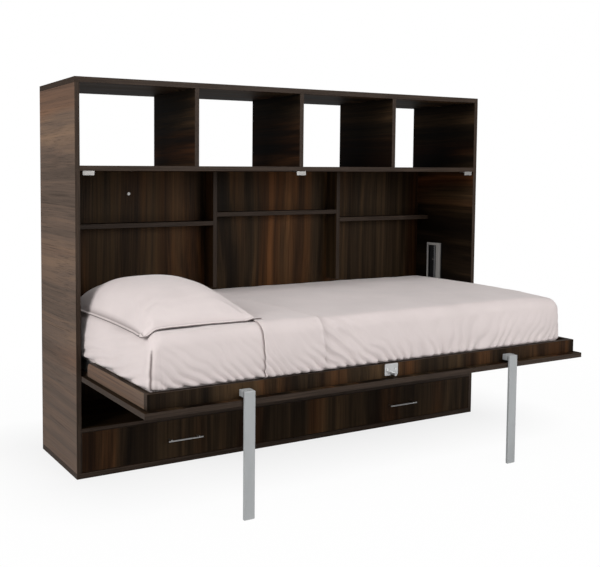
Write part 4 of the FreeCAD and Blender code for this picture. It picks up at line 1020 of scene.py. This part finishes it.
@dataclass
class Bedding:
    """Mattress, fitted sheet, and top sheet with its turned-back cuff."""

    rail_top: float = 473 * MM
    shoulder: float = 655 * MM
    bulge_front: float = 19 * MM
    bulge_head: float = 20 * MM
    bulge_foot: float = 1 * MM
    gather_pitch: float = 46 * MM
    gather_depth: float = 8.0 * MM
    gather_seed: int = 11
    gather_skew: float = 0.35
    gather_rise: float = 32 * MM
    gather_far_rise: float = 120 * MM
    gather_far_share: float = 0.26
    gather_steady_share: float = 0.74
    wander_turn: float = 1.3
    wander_size: float = 340 * MM
    tremble_turn: float = 0.7
    tremble_size: float = 160 * MM
    uneven_size: float = 210 * MM
    rail_cover: float = 5 * MM
    rail_gap: float = 1 * MM
    rail_clear: float = 10 * MM
    foot_flat_share: float = 0.7
    foot_flat_from: float = 820 * MM
    foot_flat_to: float = 970 * MM
    bulge_fade_share: float = 0.8
    bulge_fades_above: float = 60 * MM
    lean_at_head: float = 1.15
    lean_turn: float = 2.0
    lean_from: float = -250 * MM
    lean_to: float = 750 * MM
    hollow_height: float = 1.6 * MM
    hollow_size: float = 420 * MM
    ripple_height: float = 0.6 * MM
    ripple_size: float = 120 * MM
    fan_height: float = 3.2 * MM
    fan_pitch: float = 75 * MM
    fan_slant: float = 1.35
    fan_full: float = 20 * MM
    fan_fades: float = 80 * MM
    fan_ends: float = 260 * MM
    cuff_start: float = -566 * MM
    cuff_end: float = -311 * MM
    cuff_lift: float = 5 * MM
    sheet_thickness: float = 0.7 * MM
    foot_seam_turn: float = math.radians(52)
    stitch_pitch: float = 13 * MM
    stitch_reach: float = 30 * MM
    stitch_rise: float = 22 * MM
    seam_share: float = 0.30
    seam_width: float = 1.9 * MM
    seam_depth: float = 1.2 * MM
    seam_ends: float = 7 * MM
    seam_full: float = 18 * MM
    foot_seam_width: float = 4.2 * MM
    foot_seam_ends: float = 20 * MM
    foot_seam_full: float = 40 * MM
    stitch_height: float = 1.6 * MM
    side_from: float = 400 * MM
    side_to: float = 430 * MM
    line_width: float = 2.2 * MM
    hem_width: float = 9 * MM
    hem_rise: float = 2 * MM
    row_step: float = 2 * MM
    hem_gap: float = 2 * MM
    under_cuff_stops: float = 6 * MM
    hem_rows_from: float = 4 * MM
    hem_rows_to: float = 10 * MM
    draped_from: float = 14 * MM
    first_foot_turn: float = 0.06
    seam_turn_step: float = 0.05
    gathered_past_cuff: float = 60 * MM
    covered_past_cuff: float = 75 * MM
    hidden_past_cuff: float = 50 * MM
    shown_past_cuff: float = 10 * MM
    cap_low: float = 0.02
    cap_high: float = 0.985
    mattress_cap_rows: int = 12
    mattress_rows: int = 90
    head_rows: int = 26
    foot_rows: int = 12
    corner_rows: int = 22
    gathered_rows: int = 190
    covered_rows: int = 56
    fold_rows: int = 9
    cuff_rows: int = 46
    under_cuff_rows: int = 16
    hem_rows: int = 12
    draped_rows: int = 212
    draped_foot_rows: int = 22
    foot_turn_rows: int = 20

    def gathers(self, points: Points, seed: int) -> Points:
        """How far the pull of the tucked hem moves the cloth: pleats with round ridges and sharp valleys.

        The pleats follow a phase that runs along the bed, lean one way at the pillow end and the other
        way at the foot, and fade out upwards.

        Args:
            points: Rows, columns and three coordinates.
            seed: Picks the uneven spacing and strength.

        Returns:
            Move along the normal for each point.
        """
        x, y, z = points[..., 0], points[..., 1], points[..., 2]
        rise = z - self.rail_top
        run = x + self.gather_skew * y
        lean = self.lean_at_head - self.lean_turn * fade(x, self.lean_from, self.lean_to)
        slanted = run + lean * rise
        level = np.zeros_like(run)
        wander = self.wander_turn * waves(run, level, self.wander_size, seed)
        wander = wander + self.tremble_turn * waves(run, z, self.tremble_size, seed + 1)
        phase = math.pi * slanted / self.gather_pitch + wander
        pleat = 2 * np.abs(np.cos(phase)) - 1.25
        uneven = waves(run, level, self.uneven_size, seed + 2)
        strength = self.gather_steady_share + (1 - self.gather_steady_share) * uneven
        risen = np.clip(rise, 0, None)
        near = np.exp(-risen / self.gather_rise)
        far = self.gather_far_share * np.exp(-risen / self.gather_far_rise)
        return self.gather_depth * strength * pleat * (near + far)

    def relief(self, points: Points, normals: Points, seed: int) -> Points:
        """All the unevenness of a stretched sheet, as a move along the normal.

        Gathers show on the sides, slow hollows and bulges everywhere, and soft ripples on the top.

        Args:
            points: Rows, columns and three coordinates.
            normals: Unit normals in the same layout.
            seed: Picks the waves.

        Returns:
            Move along the normal for each point.
        """
        x, y, z = points[..., 0], points[..., 1], points[..., 2]
        side = np.clip(1 - normals[..., 2] ** 2, 0, 1)
        hidden = fade(z, self.rail_top - self.rail_cover, self.rail_top + self.rail_clear)
        gather = self.gathers(points, seed) * side * hidden
        slow = self.hollow_height * waves(x, y, self.hollow_size, seed + 5) * (1 - side)
        ripple = self.ripple_height * waves(x, y + z, self.ripple_size, seed + 6)
        return gather + self.bulge(points, normals) + slow + ripple * hidden

    def bulge(self, points: Points, normals: Points) -> Points:
        """How far the sides swell out over the rails: most just above them, and little at the shoulder.

        Args:
            points: Rows, columns and three coordinates.
            normals: Unit normals in the same layout.

        Returns:
            Move along the normal for each point.
        """
        x, z = points[..., 0], points[..., 2]
        flatter = 1 - self.foot_flat_share * fade(x, self.foot_flat_from, self.foot_flat_to)
        facing = np.clip(-normals[..., 1], 0, 1) * self.bulge_front * flatter
        facing = facing + np.clip(-normals[..., 0], 0, 1) * self.bulge_head
        facing = facing + np.clip(normals[..., 0], 0, 1) * self.bulge_foot
        risen = fade(z, self.rail_top + self.rail_gap, self.rail_top + self.rail_clear)
        upwards = fade(z, self.rail_top + self.bulge_fades_above, self.shoulder)
        return facing * risen * (1 - self.bulge_fade_share * upwards)

    def fan(self, points: Points, normals: Points) -> Points:
        """Folds that fan out below the cuff's end: slanted pleats just past it, fading along the bed.

        Args:
            points: Rows, columns and three coordinates.
            normals: Unit normals in the same layout.

        Returns:
            Move along the normal for each point.
        """
        x, z = points[..., 0], points[..., 2]
        front = np.clip(-normals[..., 1], 0, 1)
        past = x - self.cuff_end
        reach = fade(past, 0.0, self.fan_full) * fade(past, self.fan_ends, self.fan_fades)
        slanted = past + self.fan_slant * (z - self.rail_top)
        pleat = np.clip(np.cos(FULL_TURN * slanted / self.fan_pitch), -0.5, 1)
        risen = fade(z, self.rail_top, self.rail_top + self.fan_full)
        return self.fan_height * pleat * reach * front * risen

    def mattress(self, palette: Palette) -> None:
        """Makes the closed mattress with a piped edge round its top.

        Args:
            palette: The finishes.
        """
        low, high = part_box("mattress")
        form = MattressForm(low, high, leg_columns=14, arc_columns=6, top_columns=24)
        cap = np.linspace(self.cap_low, 1 - self.cap_low, self.mattress_cap_rows)
        body = form.stations(low[0], high[0], self.mattress_rows)
        x = np.concatenate([np.full(len(cap), low[0]), body, np.full(len(cap), high[0])])
        caps = np.concatenate([cap, np.ones(len(body)), cap[::-1]])
        grid = form.arches(x, np.zeros_like(x), caps)
        rows, columns = grid.shape[:2]
        points = grid.reshape(-1, 3)
        faces = grid_faces(rows, columns, closed=True).tolist()
        faces.append(list(range(columns)))
        faces.append(list(range(len(points) - columns, len(points)))[::-1])
        piece = new_piece("mattress_core", points, faces, [palette.ticking])
        turn_outwards(piece)
        hand_over(piece, "bed", "mattress_cover", "mattress")

    def sheet_piece(self, name: str, grid: Points, crease_shade: Points, palette: Palette) -> bpy.types.Object:
        """Turns a grid of cloth into a thin closed piece with its weave map and painted shade.

        Args:
            name: Name of the piece.
            grid: Rows, columns and three coordinates.
            crease_shade: Painted shade for each point.
            palette: The finishes.

        Returns:
            The piece.
        """
        rows, columns = grid.shape[:2]
        faces = grid_faces(rows, columns)[:, ::-1].tolist()
        piece = new_piece(name, grid.reshape(-1, 3), faces, [palette.cotton])
        set_uv(piece, cloth_map(grid).reshape(-1, 2))
        set_shade(piece, crease_shade.ravel())
        thicken = piece.modifiers.new("thickness", "SOLIDIFY")
        thicken.thickness = self.sheet_thickness
        thicken.offset = -1.0
        return piece

    def fitted_sheet(self, palette: Palette) -> None:
        """Makes the fitted sheet, with a sewn seam up each corner of the mattress.

        Args:
            palette: The finishes.
        """
        low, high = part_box("fitted_sheet")
        form = MattressForm(low, high)
        head_cap = np.linspace(self.cap_low, self.cap_high, self.head_rows)
        foot_cap = np.linspace(self.cap_high, self.cap_low, self.foot_rows)
        corner = form.corner_stations(self.corner_rows)
        last = self.cuff_start + self.gathered_past_cuff
        middle = np.linspace(corner[-1] + self.row_step, last, self.gathered_rows)
        right = form.stations(self.cuff_start + self.covered_past_cuff, high[0], self.covered_rows)
        body = np.concatenate([corner, middle, right])
        x = np.concatenate([np.full(self.head_rows, low[0]), body, np.full(self.foot_rows, high[0])])
        caps = np.concatenate([head_cap, np.ones(len(body)), foot_cap])
        grid = form.arches(x, np.zeros_like(x), caps)
        normals = grid_normals(grid)
        past_cuff = grid[..., 0] - self.cuff_start
        shown = fade(past_cuff, self.hidden_past_cuff, self.shown_past_cuff)
        relief = self.relief(grid, normals, seed=self.gather_seed)
        crease_shade = self.corner_seam(grid, low, form)
        pleats = self.stitch_pleats(grid, low, form)
        lift = relief * shown - self.seam_depth * crease_shade + self.stitch_height * pleats
        grid = grid + normals * lift[..., None]
        # Painted shade: darker along the corner seams and in the valleys of the small folds at their foot.
        shade = np.clip(crease_shade * 1.1 + np.clip(-pleats, 0, 1) * 0.6, 0, 0.9)
        piece = self.sheet_piece("fitted_sheet_cloth", grid, shade, palette)
        hand_over(piece, "bed", "white_cotton", "fitted_sheet")

    def corner_seam(self, grid: Points, low: Vector, form: MattressForm) -> Points:
        """Where the seams at the pillow end run: a narrow band up each upright corner, open at the top.

        Args:
            grid: Rows, columns and three coordinates.
            low: Lowest corner of the sheet.
            form: The form of the mattress.

        Returns:
            How near the seam each point is, from 0 to 1.
        """
        x, y, z = grid[..., 0], grid[..., 1], grid[..., 2]
        seam_x = low[0] + form.corner_left * self.seam_share
        front = low[1] + form.corner_left * self.seam_share
        back = form.low[1] + form.high[1] - front
        along_front = np.hypot(x - seam_x, y - front)
        along_back = np.hypot(x - seam_x, y - back)
        away = np.minimum(along_front, along_back)
        band = np.exp(-((away / self.seam_width) ** 2))
        return band * fade(z, form.high[2] - self.seam_ends, form.high[2] - self.seam_full)

    def stitch_pleats(self, grid: Points, low: Vector, form: MattressForm) -> Points:
        """Small upright folds where the corner seams end: a cosine that dies away from the seam's foot.

        Args:
            grid: Rows, columns and three coordinates.
            low: Lowest corner of the sheet.
            form: The form of the mattress.

        Returns:
            The folds' height for each point, from -1 to 1.
        """
        x, y, z = grid[..., 0], grid[..., 1], grid[..., 2]
        corner = low[0] + form.corner_left * self.seam_share
        along = np.clip(x - corner, 0, None)
        rise = np.clip(z - self.rail_top, 0, None)
        near = np.exp(-((along / self.stitch_reach) ** 2)) * np.exp(-rise / self.stitch_rise)
        on_side = fade(np.abs(y - (form.low[1] + form.high[1]) / 2), self.side_from, self.side_to)
        return np.cos(FULL_TURN * along / self.stitch_pitch) * near * on_side * (along > 0)

    def foot_turns(self) -> Points:
        """Angles round the foot's corner arc, with three close together where the seam runs."""
        spread = np.linspace(self.first_foot_turn, QUARTER_TURN, self.foot_turn_rows)
        close = self.foot_seam_turn + self.seam_turn_step * np.array([-1, 0, 1])
        return np.sort(np.concatenate([spread, close]))

    def foot_seam_shade(self, points: Points, form: MattressForm) -> Points:
        """Painted shade along the seams at the foot: a narrow band up each corner arc, at the seam's angle.

        Args:
            points: Rows, columns and three coordinates.
            form: The form of the mattress.

        Returns:
            How near the seam each point is, from 0 to 1.
        """
        x, y, z = points[..., 0], points[..., 1], points[..., 2]
        seam_x = form.high[0] - form.corner_right * (1 - math.sin(self.foot_seam_turn))
        inwards = form.corner_right * (1 - math.cos(self.foot_seam_turn))
        away_y = np.minimum(np.abs(y - form.low[1] - inwards), np.abs(y - form.high[1] + inwards))
        band = np.exp(-((np.hypot(x - seam_x, away_y) / self.foot_seam_width) ** 2))
        below = form.high[2] - z
        return band * fade(below, self.foot_seam_ends, self.foot_seam_full)

    def top_sheet(self, palette: Palette) -> None:
        """Makes the top sheet: turned back in a cuff near the pillow and drawn down over the foot end.

        Args:
            palette: The finishes.
        """
        low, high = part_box("top_sheet")
        form = MattressForm(Vector((-1.4, low[1], low[2])), high)
        turn = np.linspace(0, math.pi, self.fold_rows)[1:-1]
        fold_x = self.cuff_start - self.cuff_lift / 2 * np.sin(turn) + self.cuff_lift / 2
        fold_grow = self.cuff_lift / 2 * (1 + np.cos(turn))
        fold_edge = self.cuff_start + self.cuff_lift / 2
        cuff = form.stations(self.cuff_end, fold_edge, self.cuff_rows)
        draped_to = high[0] - form.corner_right
        body = np.concatenate(
            [
                form.stations(fold_edge, self.cuff_end - self.under_cuff_stops, self.under_cuff_rows),
                self.cuff_end + np.linspace(-self.hem_rows_from, self.hem_rows_to, self.hem_rows),
                np.linspace(self.cuff_end + self.draped_from, draped_to, self.draped_rows),
                high[0] - form.corner_right * (1 - np.sin(self.foot_turns())),
            ]
        )
        cap = np.linspace(self.cap_high, self.cap_low, self.draped_foot_rows)
        x = np.concatenate([cuff, fold_x, body, np.full(len(cap), high[0])])
        flat_count = len(x) - len(cuff) - len(fold_x)
        grow = np.concatenate([np.full(len(cuff), self.cuff_lift), fold_grow, np.zeros(flat_count)])
        caps = np.concatenate([np.ones(len(x) - len(cap)), cap])
        grid = form.arches(x, grow, caps)
        base = form.arches(x, np.zeros_like(x), caps)
        normals = grid_normals(base)
        first_flat = len(cuff) + len(turn)
        normals[: first_flat + 2] = normals[first_flat + 2]
        relief = self.relief(base, normals, seed=self.gather_seed) + self.fan(base, normals)
        hem = np.zeros_like(x)
        hem[: len(cuff)] = np.exp(-(((cuff - self.cuff_end) / self.hem_width) ** 2)) * self.hem_rise
        # Painted shade: a dark line where the cuff folds back.
        fold_edge_shade = np.exp(-(((x - self.cuff_start) / self.line_width) ** 2)) * (grow < self.cuff_lift * 0.7)
        grid = grid + normals * (relief + hem[:, None])[..., None]
        side = np.clip(1 - normals[..., 2] ** 2, 0, 1)
        # Painted shade: a dark line just past the hem, every line weaker on the top, and the foot seams' dark
        # band.
        past_hem = np.exp(-(((x - self.cuff_end - self.hem_gap) / self.line_width) ** 2)) * (grow < MM)
        shade = np.clip(0.9 * fold_edge_shade + 0.7 * past_hem, 0, 0.9)[:, None] * (0.2 + 0.8 * side)
        shade = np.maximum(shade, 0.8 * self.foot_seam_shade(base, form))
        piece = self.sheet_piece("top_sheet_cloth", grid, shade, palette)
        hand_over(piece, "bed", "white_cotton", "top_sheet")


@dataclass
class Pillow:
    """A plump pillow that droops over the mattress's end, in a case with a narrow flat hem.

    Attributes:
        hem: Width of the flat hem.
        overhang: How far the pillow reaches past its CAD box at the head end.
        crest: Height of its middle above the hem.
        round_x: How boxy it is along the bed; 2 is an even dome.
        round_y: How boxy it is across the bed.
        fullness: How steeply it rises from the hem; less is steeper.
        pull_x: Share by which the ends draw in between the corners.
        pull_y: Share by which the long edges draw in.
        droop: How far the head end hangs below the mattress's top.
        squash_to: Share of its thickness that is left when the bed is shut.
    """

    hem: float = 12 * MM
    overhang: float = 11 * MM
    crest: float = 127.5 * MM
    round_x: float = 3.3
    round_y: float = 2.33
    fullness: float = 0.65
    pull_x: float = 0.057
    pull_y: float = 0.038
    droop: float = 20 * MM
    cloth: float = 1.5 * MM
    squash_to: float = 0.32
    past_box: float = 1.5 * MM
    corner_reach: float = 55 * MM
    corner_out_x: float = 4 * MM
    corner_out_y: float = 9 * MM
    corner_drop: float = 4 * MM
    seat_gap: float = 2.5 * MM
    cuff_step: float = 6 * MM
    cuff_step_from: float = -600 * MM
    cuff_step_to: float = -570 * MM
    droop_from: float = -950 * MM
    droop_to: float = -1005 * MM
    ruffle_at_share: float = 0.93
    ruffle_reach: float = 30 * MM
    ruffle_size: float = 60 * MM
    ruffle_height: float = 0.5 * MM
    ruffle_head_height: float = 2.2 * MM
    fold_height: float = 1.6 * MM
    lump_height: float = 1.0 * MM
    lump_size: float = 190 * MM
    stitch_width: float = 1.8 * MM
    wrinkle_share: float = 0.30
    wrinkle_size: float = 50 * MM
    wrinkle_from: float = -550 * MM
    wrinkle_to: float = -800 * MM
    ray_count: int = 13
    ray_reach: float = 130 * MM
    ray_peak_share: float = 0.75
    ray_fade_share: float = 0.35
    hollow_below: float = 1 * MM
    head_stitch_from_share: float = 0.90
    head_stitch_full_share: float = 0.96
    stitch_shade: float = 0.15
    head_stitch_shade: float = 0.65
    rim_shade: float = 0.8
    under_shade: float = 0.95
    ray_sway_size: float = 200 * MM
    rows: int = 170
    columns: int = 240

    def swell(self, share_x: Points, share_y: Points, half_x: float, half_y: float) -> Points:
        """How full the pillow is, from 0 at the sewn line to 1: the product of two flattened domes.

        Args:
            share_x: From -1 to 1 along the bed.
            share_y: From -1 to 1 across the bed.
            half_x: Half the pillow's size along the bed.
            half_y: Half its size across the bed.

        Returns:
            The fullness at each point.
        """
        u = np.clip(np.abs(share_x) / (1 - self.hem / half_x), 0, 1)
        v = np.clip(np.abs(share_y) / (1 - self.hem / half_y), 0, 1)
        return ((1 - u**self.round_x) * (1 - v**self.round_y)) ** self.fullness

    def creases(self, x: Points, y: Points, low: Vector, high: Vector) -> Points:
        """Small folds: cosine rays round each corner that fade inwards, and long fine wrinkles in front.

        Args:
            x: First coordinate of each point.
            y: Second coordinate.
            low: Lowest corner of the pillow.
            high: Highest corner.

        Returns:
            Height of the folds, from about -1 to 1.
        """
        wrinkles = waves(0.3 * x, y, self.wrinkle_size, 77)
        total = self.wrinkle_share * wrinkles * fade(y, self.wrinkle_from, self.wrinkle_to)
        corners = ((low[0], low[1]), (high[0], low[1]), (low[0], high[1]))
        for number, (corner_x, corner_y) in enumerate(corners):
            away_x = np.abs(x - corner_x)
            away_y = np.abs(y - corner_y)
            sway = 0.25 * waves(x, y, self.ray_sway_size, 40 + number)
            angle = np.arctan2(away_y, away_x) + sway
            distance = np.hypot(away_x, away_y) / self.ray_reach
            rays = np.cos(angle * self.ray_count + number * 1.7)
            total += rays * np.exp(-((distance - self.ray_peak_share) ** 2) / self.ray_fade_share)
        return total

    def closed_faces(self) -> Faces:
        """Quads of the upper and lower grids, and of the strip that joins them round the rim.

        Returns:
            Four point numbers for each quad.
        """
        count = self.rows * self.columns
        upper = grid_faces(self.rows, self.columns)
        lower = grid_faces(self.rows, self.columns, first=count)[:, ::-1]
        numbers = np.arange(count).reshape(self.rows, self.columns)
        loop = np.concatenate([numbers[0, :-1], numbers[:-1, -1], numbers[-1, :0:-1], numbers[:0:-1, 0]])
        following = np.roll(loop, -1)
        side = np.stack([loop, following, following + count, loop + count], axis=-1)
        return np.concatenate([upper, lower, side])

    def build(self, palette: Palette) -> None:
        """Makes the pillow as a top and a bottom surface that meet at the hem's rim.

        Args:
            palette: The finishes.
        """
        low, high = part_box("pillow")
        left = low[0] - self.overhang
        half_x = (high[0] + self.past_box - left) / 2
        half_y = (high[1] - low[1]) / 2 + self.past_box
        even_x = np.linspace(-1, 1, self.rows)
        even_y = np.linspace(-1, 1, self.columns)
        share_x, share_y = np.meshgrid(even_x, even_y, indexing="ij")
        x = left + half_x + half_x * share_x * (1 - self.pull_x * (1 - share_y**2))
        y = (low[1] + high[1]) / 2 + half_y * share_y * (1 - self.pull_y * (1 - share_x**2))
        away = ((share_x + 1) * half_x) ** 2 + ((share_y + 1) * half_y) ** 2
        corner = np.exp(-away / self.corner_reach**2)
        x = x - self.corner_out_x * corner
        y = y - self.corner_out_y * corner
        full = self.swell(share_x, share_y, half_x, half_y)
        seat = low[2] + self.seat_gap + self.cuff_step * fade(x, self.cuff_step_from, self.cuff_step_to)
        seat = seat - self.droop * fade(x, self.droop_from, self.droop_to) - self.corner_drop * corner
        near_head = np.exp(-(((share_x + self.ruffle_at_share) * half_x / self.ruffle_reach) ** 2))
        ruffle_rise = self.ruffle_height + self.ruffle_head_height * near_head
        ruffle = waves(x, y, self.ruffle_size, 71) * ruffle_rise
        edge = np.minimum((1 - np.abs(share_x)) * half_x, (1 - np.abs(share_y)) * half_y)
        rim = edge < 1e-9
        seat = seat + np.abs(ruffle) * (share_y < -0.9)
        lumps = self.lump_height * waves(x, y, self.lump_size, 72)
        soft = self.creases(x, y, low, high) * self.fold_height + lumps
        above = seat + 2 * self.cloth + self.crest * full + soft * np.clip(full * 2, 0, 1)
        below = np.where(rim, seat, seat - self.hollow_below * np.clip(full * 3, 0, 1))
        top = np.stack([x, y, above], axis=-1)
        bottom = np.stack([x, y, below], axis=-1)
        points = np.concatenate([top.reshape(-1, 3), bottom.reshape(-1, 3)])
        faces = self.closed_faces().tolist()
        piece = new_piece("pillow_cushion", points, faces, [palette.pillow_cotton])
        turn_outwards(piece)
        # Painted shade: a line along the hem's stitching, darker at the head end, a dark contact line round
        # the rim, and the whole underside shaded.
        head = fade(-share_x, self.head_stitch_from_share, self.head_stitch_full_share)
        sewn = np.exp(-(((edge - self.hem) / self.stitch_width) ** 2))
        painted_hem_shade = sewn * (self.stitch_shade + self.head_stitch_shade * head)
        painted_hem_shade = np.where(rim, self.rim_shade, painted_hem_shade)
        set_shade(piece, np.concatenate([painted_hem_shade.ravel(), np.full(painted_hem_shade.size, self.under_shade)]))
        uv = np.stack([x, y], axis=-1).reshape(-1, 2)
        set_uv(piece, np.concatenate([uv, uv]))
        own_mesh(piece)
        hand_over(piece, "bed", "white_cotton", "pillow")


# Metalwork


class Metalwork:
    """Every fitting that keeps its CAD shape and gets its finish."""

    def dress(self, palette: Palette) -> None:
        """Gives each CAD node that still shows its material.

        Args:
            palette: The finishes.
        """
        parts = ("pivot_arm", "lift_slider", "handle")
        paired = [side + part for side in ("left_", "right_") for part in parts]
        springs = ["left_lift_spring", "right_lift_spring"]
        brackets = ["left_pivot_bracket", "right_pivot_bracket"]
        finishes = (
            (palette.birch, ["drawer_sides", "cabinet_dowels", "deck_slats"]),
            (palette.long_birch, ["upper_wall_rail", "lower_wall_rail", "drawer_back", "drawer_bottom"]),
            (palette.frame_paint, ["deck_frame", "lift_rods", *springs]),
            (palette.leg_paint, ["leg_brackets"]),
            (palette.lift_steel, ["left_lift_box", "right_lift_box"]),
            (palette.zinc, ["strikers", "wall_screws", "runner_channels", "runner_bars", *brackets]),
            (palette.steel, ["latch_plate", "latch_bolt", *paired]),
            (palette.bright, ["pivot_clips", "cabinet_screws", "latch_screws", "handle_screws"]),
        )
        for finish, nodes in finishes:
            for node in nodes:
                materials = frame["nodes"][node].data.materials
                materials.clear()
                materials.append(finish)


# Studio


@dataclass(frozen=True)
class Lamp:
    """A large soft lamp.

    Attributes:
        name: Name of the lamp.
        place: Where it hangs.
        aim: What it points at.
        size: Width and height of its face.
        power: Its power in watts.
    """

    name: str
    place: Triple
    aim: Triple
    size: tuple[float, float]
    power: float

    def hang(self) -> None:
        """Adds the lamp to the scene, turned to its aim."""
        data = bpy.data.lights.new(self.name, "AREA")
        data.shape = "RECTANGLE"
        data.size, data.size_y = self.size
        data.energy = self.power
        lamp = bpy.data.objects.new(self.name, data)
        lamp.location = self.place
        lamp.rotation_mode = "QUATERNION"
        lamp.rotation_quaternion = (Vector(self.aim) - Vector(self.place)).to_track_quat("-Z", "Y")
        bpy.context.scene.collection.objects.link(lamp)


@dataclass
class Studio:
    """The plain pale floor, soft lamps, white surroundings and the photograph's camera."""

    focal_px: float = 836.9359
    centre_px: tuple[float, float] = (166.3974, 226.8948)
    image_px: tuple[int, int] = (600, 567)
    eye: Triple = (-2.17287, -3.42957, 1.18446)
    yaw: float = 0.465666
    pitch: float = -0.061519
    sensor: float = 36.0
    floor_size: float = 60.0
    shadow_reach: float = 0.45
    white_from: float = 1.8
    under_share: float = 0.80
    reach_share: float = 0.975
    floor_dark: Colour = (0.86, 0.86, 0.86, 1)
    floor_light: Colour = (0.89, 0.89, 0.89, 1)
    surround_light: float = 0.22
    lamps: tuple[Lamp, ...] = (
        Lamp("key", (-4.9, -1.4, 2.5), (-0.6, -0.7, 0.7), (2.4, 2.2), 143.0),
        Lamp("front", (2.3, -5.3, 2.3), (0.2, -0.4, 0.7), (3.0, 2.2), 110.0),
        Lamp("top", (0.0, -1.8, 4.2), (0.0, -0.9, 0.5), (3.2, 1.6), 58.0),
    )

    def camera(self) -> None:
        """Places the camera at the photograph's viewing angle."""
        data = bpy.data.cameras.new("photograph")
        wide, high = self.image_px
        data.sensor_width = self.sensor
        data.lens = self.focal_px / wide * self.sensor
        data.shift_x = (wide / 2 - self.centre_px[0]) / wide
        data.shift_y = (self.centre_px[1] - high / 2) / wide
        data.clip_start = 0.05
        data.clip_end = 200.0
        camera = bpy.data.objects.new("photograph", data)
        camera.location = self.eye
        camera.rotation_euler = Euler((QUARTER_TURN + self.pitch, 0.0, -self.yaw))
        bpy.context.scene.collection.objects.link(camera)
        bpy.context.scene.camera = camera

    def from_foot(self, graph: Graph, place: Socket) -> Socket:
        """How far a place on the floor lies from the rectangle that the cabinet stands on.

        Args:
            graph: The floor's node tree.
            place: The place, as a vector output.

        Returns:
            The distance.
        """
        low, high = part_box("bottom_panel")
        apart = graph.add("ShaderNodeSeparateXYZ", {0: place})
        past = []
        for axis in (Axis.X, Axis.Y):
            middle = (low[axis.value] + high[axis.value]) / 2
            half = (high[axis.value] - low[axis.value]) / 2
            out = graph.maths("ABSOLUTE", graph.maths("SUBTRACT", apart.outputs[axis.value], middle))
            past.append(graph.maths("MAXIMUM", graph.maths("SUBTRACT", out, half), 0.0))
        both = graph.add("ShaderNodeCombineXYZ", {0: past[0], 1: past[1]}).outputs[0]
        return graph.add("ShaderNodeVectorMath", {0: both}, operation="LENGTH").outputs["Value"]

    def floor(self) -> None:
        """Lays the floor: pale where the object's shadow falls, and white further out."""
        half = self.floor_size / 2
        points = np.array([(-half, -half, 0), (half, -half, 0), (half, half, 0), (-half, half, 0)], float)
        graph = Graph("pale_floor")
        place = graph.place(even(1.0))
        away = self.from_foot(graph, place)
        mottle = graph.noise(place, detail=3.0, rough=0.5, scale=3.0)
        colour = graph.mix(mottle, self.floor_dark, self.floor_light)
        matt = graph.add("ShaderNodeBsdfDiffuse", {"Color": colour}).outputs[0]
        white = graph.add("ShaderNodeEmission", {"Color": WHITE, "Strength": 1.0}).outputs[0]
        seen = graph.add("ShaderNodeLightPath").outputs["Is Camera Ray"]
        near = graph.span(away, 0.0, self.shadow_reach, self.under_share, self.reach_share)
        far = graph.span(away, self.shadow_reach, self.white_from, 0.0, 1 - self.reach_share)
        share = graph.maths("MULTIPLY", seen, graph.maths("ADD", near, far))
        blend = graph.add("ShaderNodeMixShader", {0: share, 1: matt, 2: white}).outputs[0]
        graph.add("ShaderNodeOutputMaterial", {"Surface": blend})
        new_piece("studio_floor", points, [[0, 1, 2, 3]], [graph.holder])

    def surroundings(self) -> None:
        """Sets the world: an even pale light, which the camera itself sees as white."""
        graph = Graph("surroundings", world=True)
        soft = graph.add("ShaderNodeBackground", {"Color": WHITE, "Strength": self.surround_light})
        white = graph.add("ShaderNodeBackground", {"Color": WHITE})
        seen = graph.add("ShaderNodeLightPath").outputs["Is Camera Ray"]
        mixed = graph.add("ShaderNodeMixShader", {0: seen, 1: soft.outputs[0], 2: white.outputs[0]})
        graph.add("ShaderNodeOutputWorld", {0: mixed.outputs[0]})
        bpy.context.scene.world = graph.holder

    def build(self) -> None:
        """Sets up the studio and a plain display of colours."""
        bpy.context.scene.view_settings.view_transform = "Standard"
        self.camera()
        self.surroundings()
        self.floor()
        for lamp in self.lamps:
            lamp.hang()


def main() -> None:
    """Builds the studio and every sub-assembly in order."""
    palette = Palette()
    Studio().build()
    Cabinet().build(palette)
    BedPlatform().build(palette)
    Legs().build(palette)
    bedding = Bedding()
    bedding.mattress(palette)
    bedding.fitted_sheet(palette)
    bedding.top_sheet(palette)
    Pillow().build(palette)
    Metalwork().dress(palette)


if __name__ == "__main__":
    logging.basicConfig(level=logging.INFO, format="%(message)s")
    main()
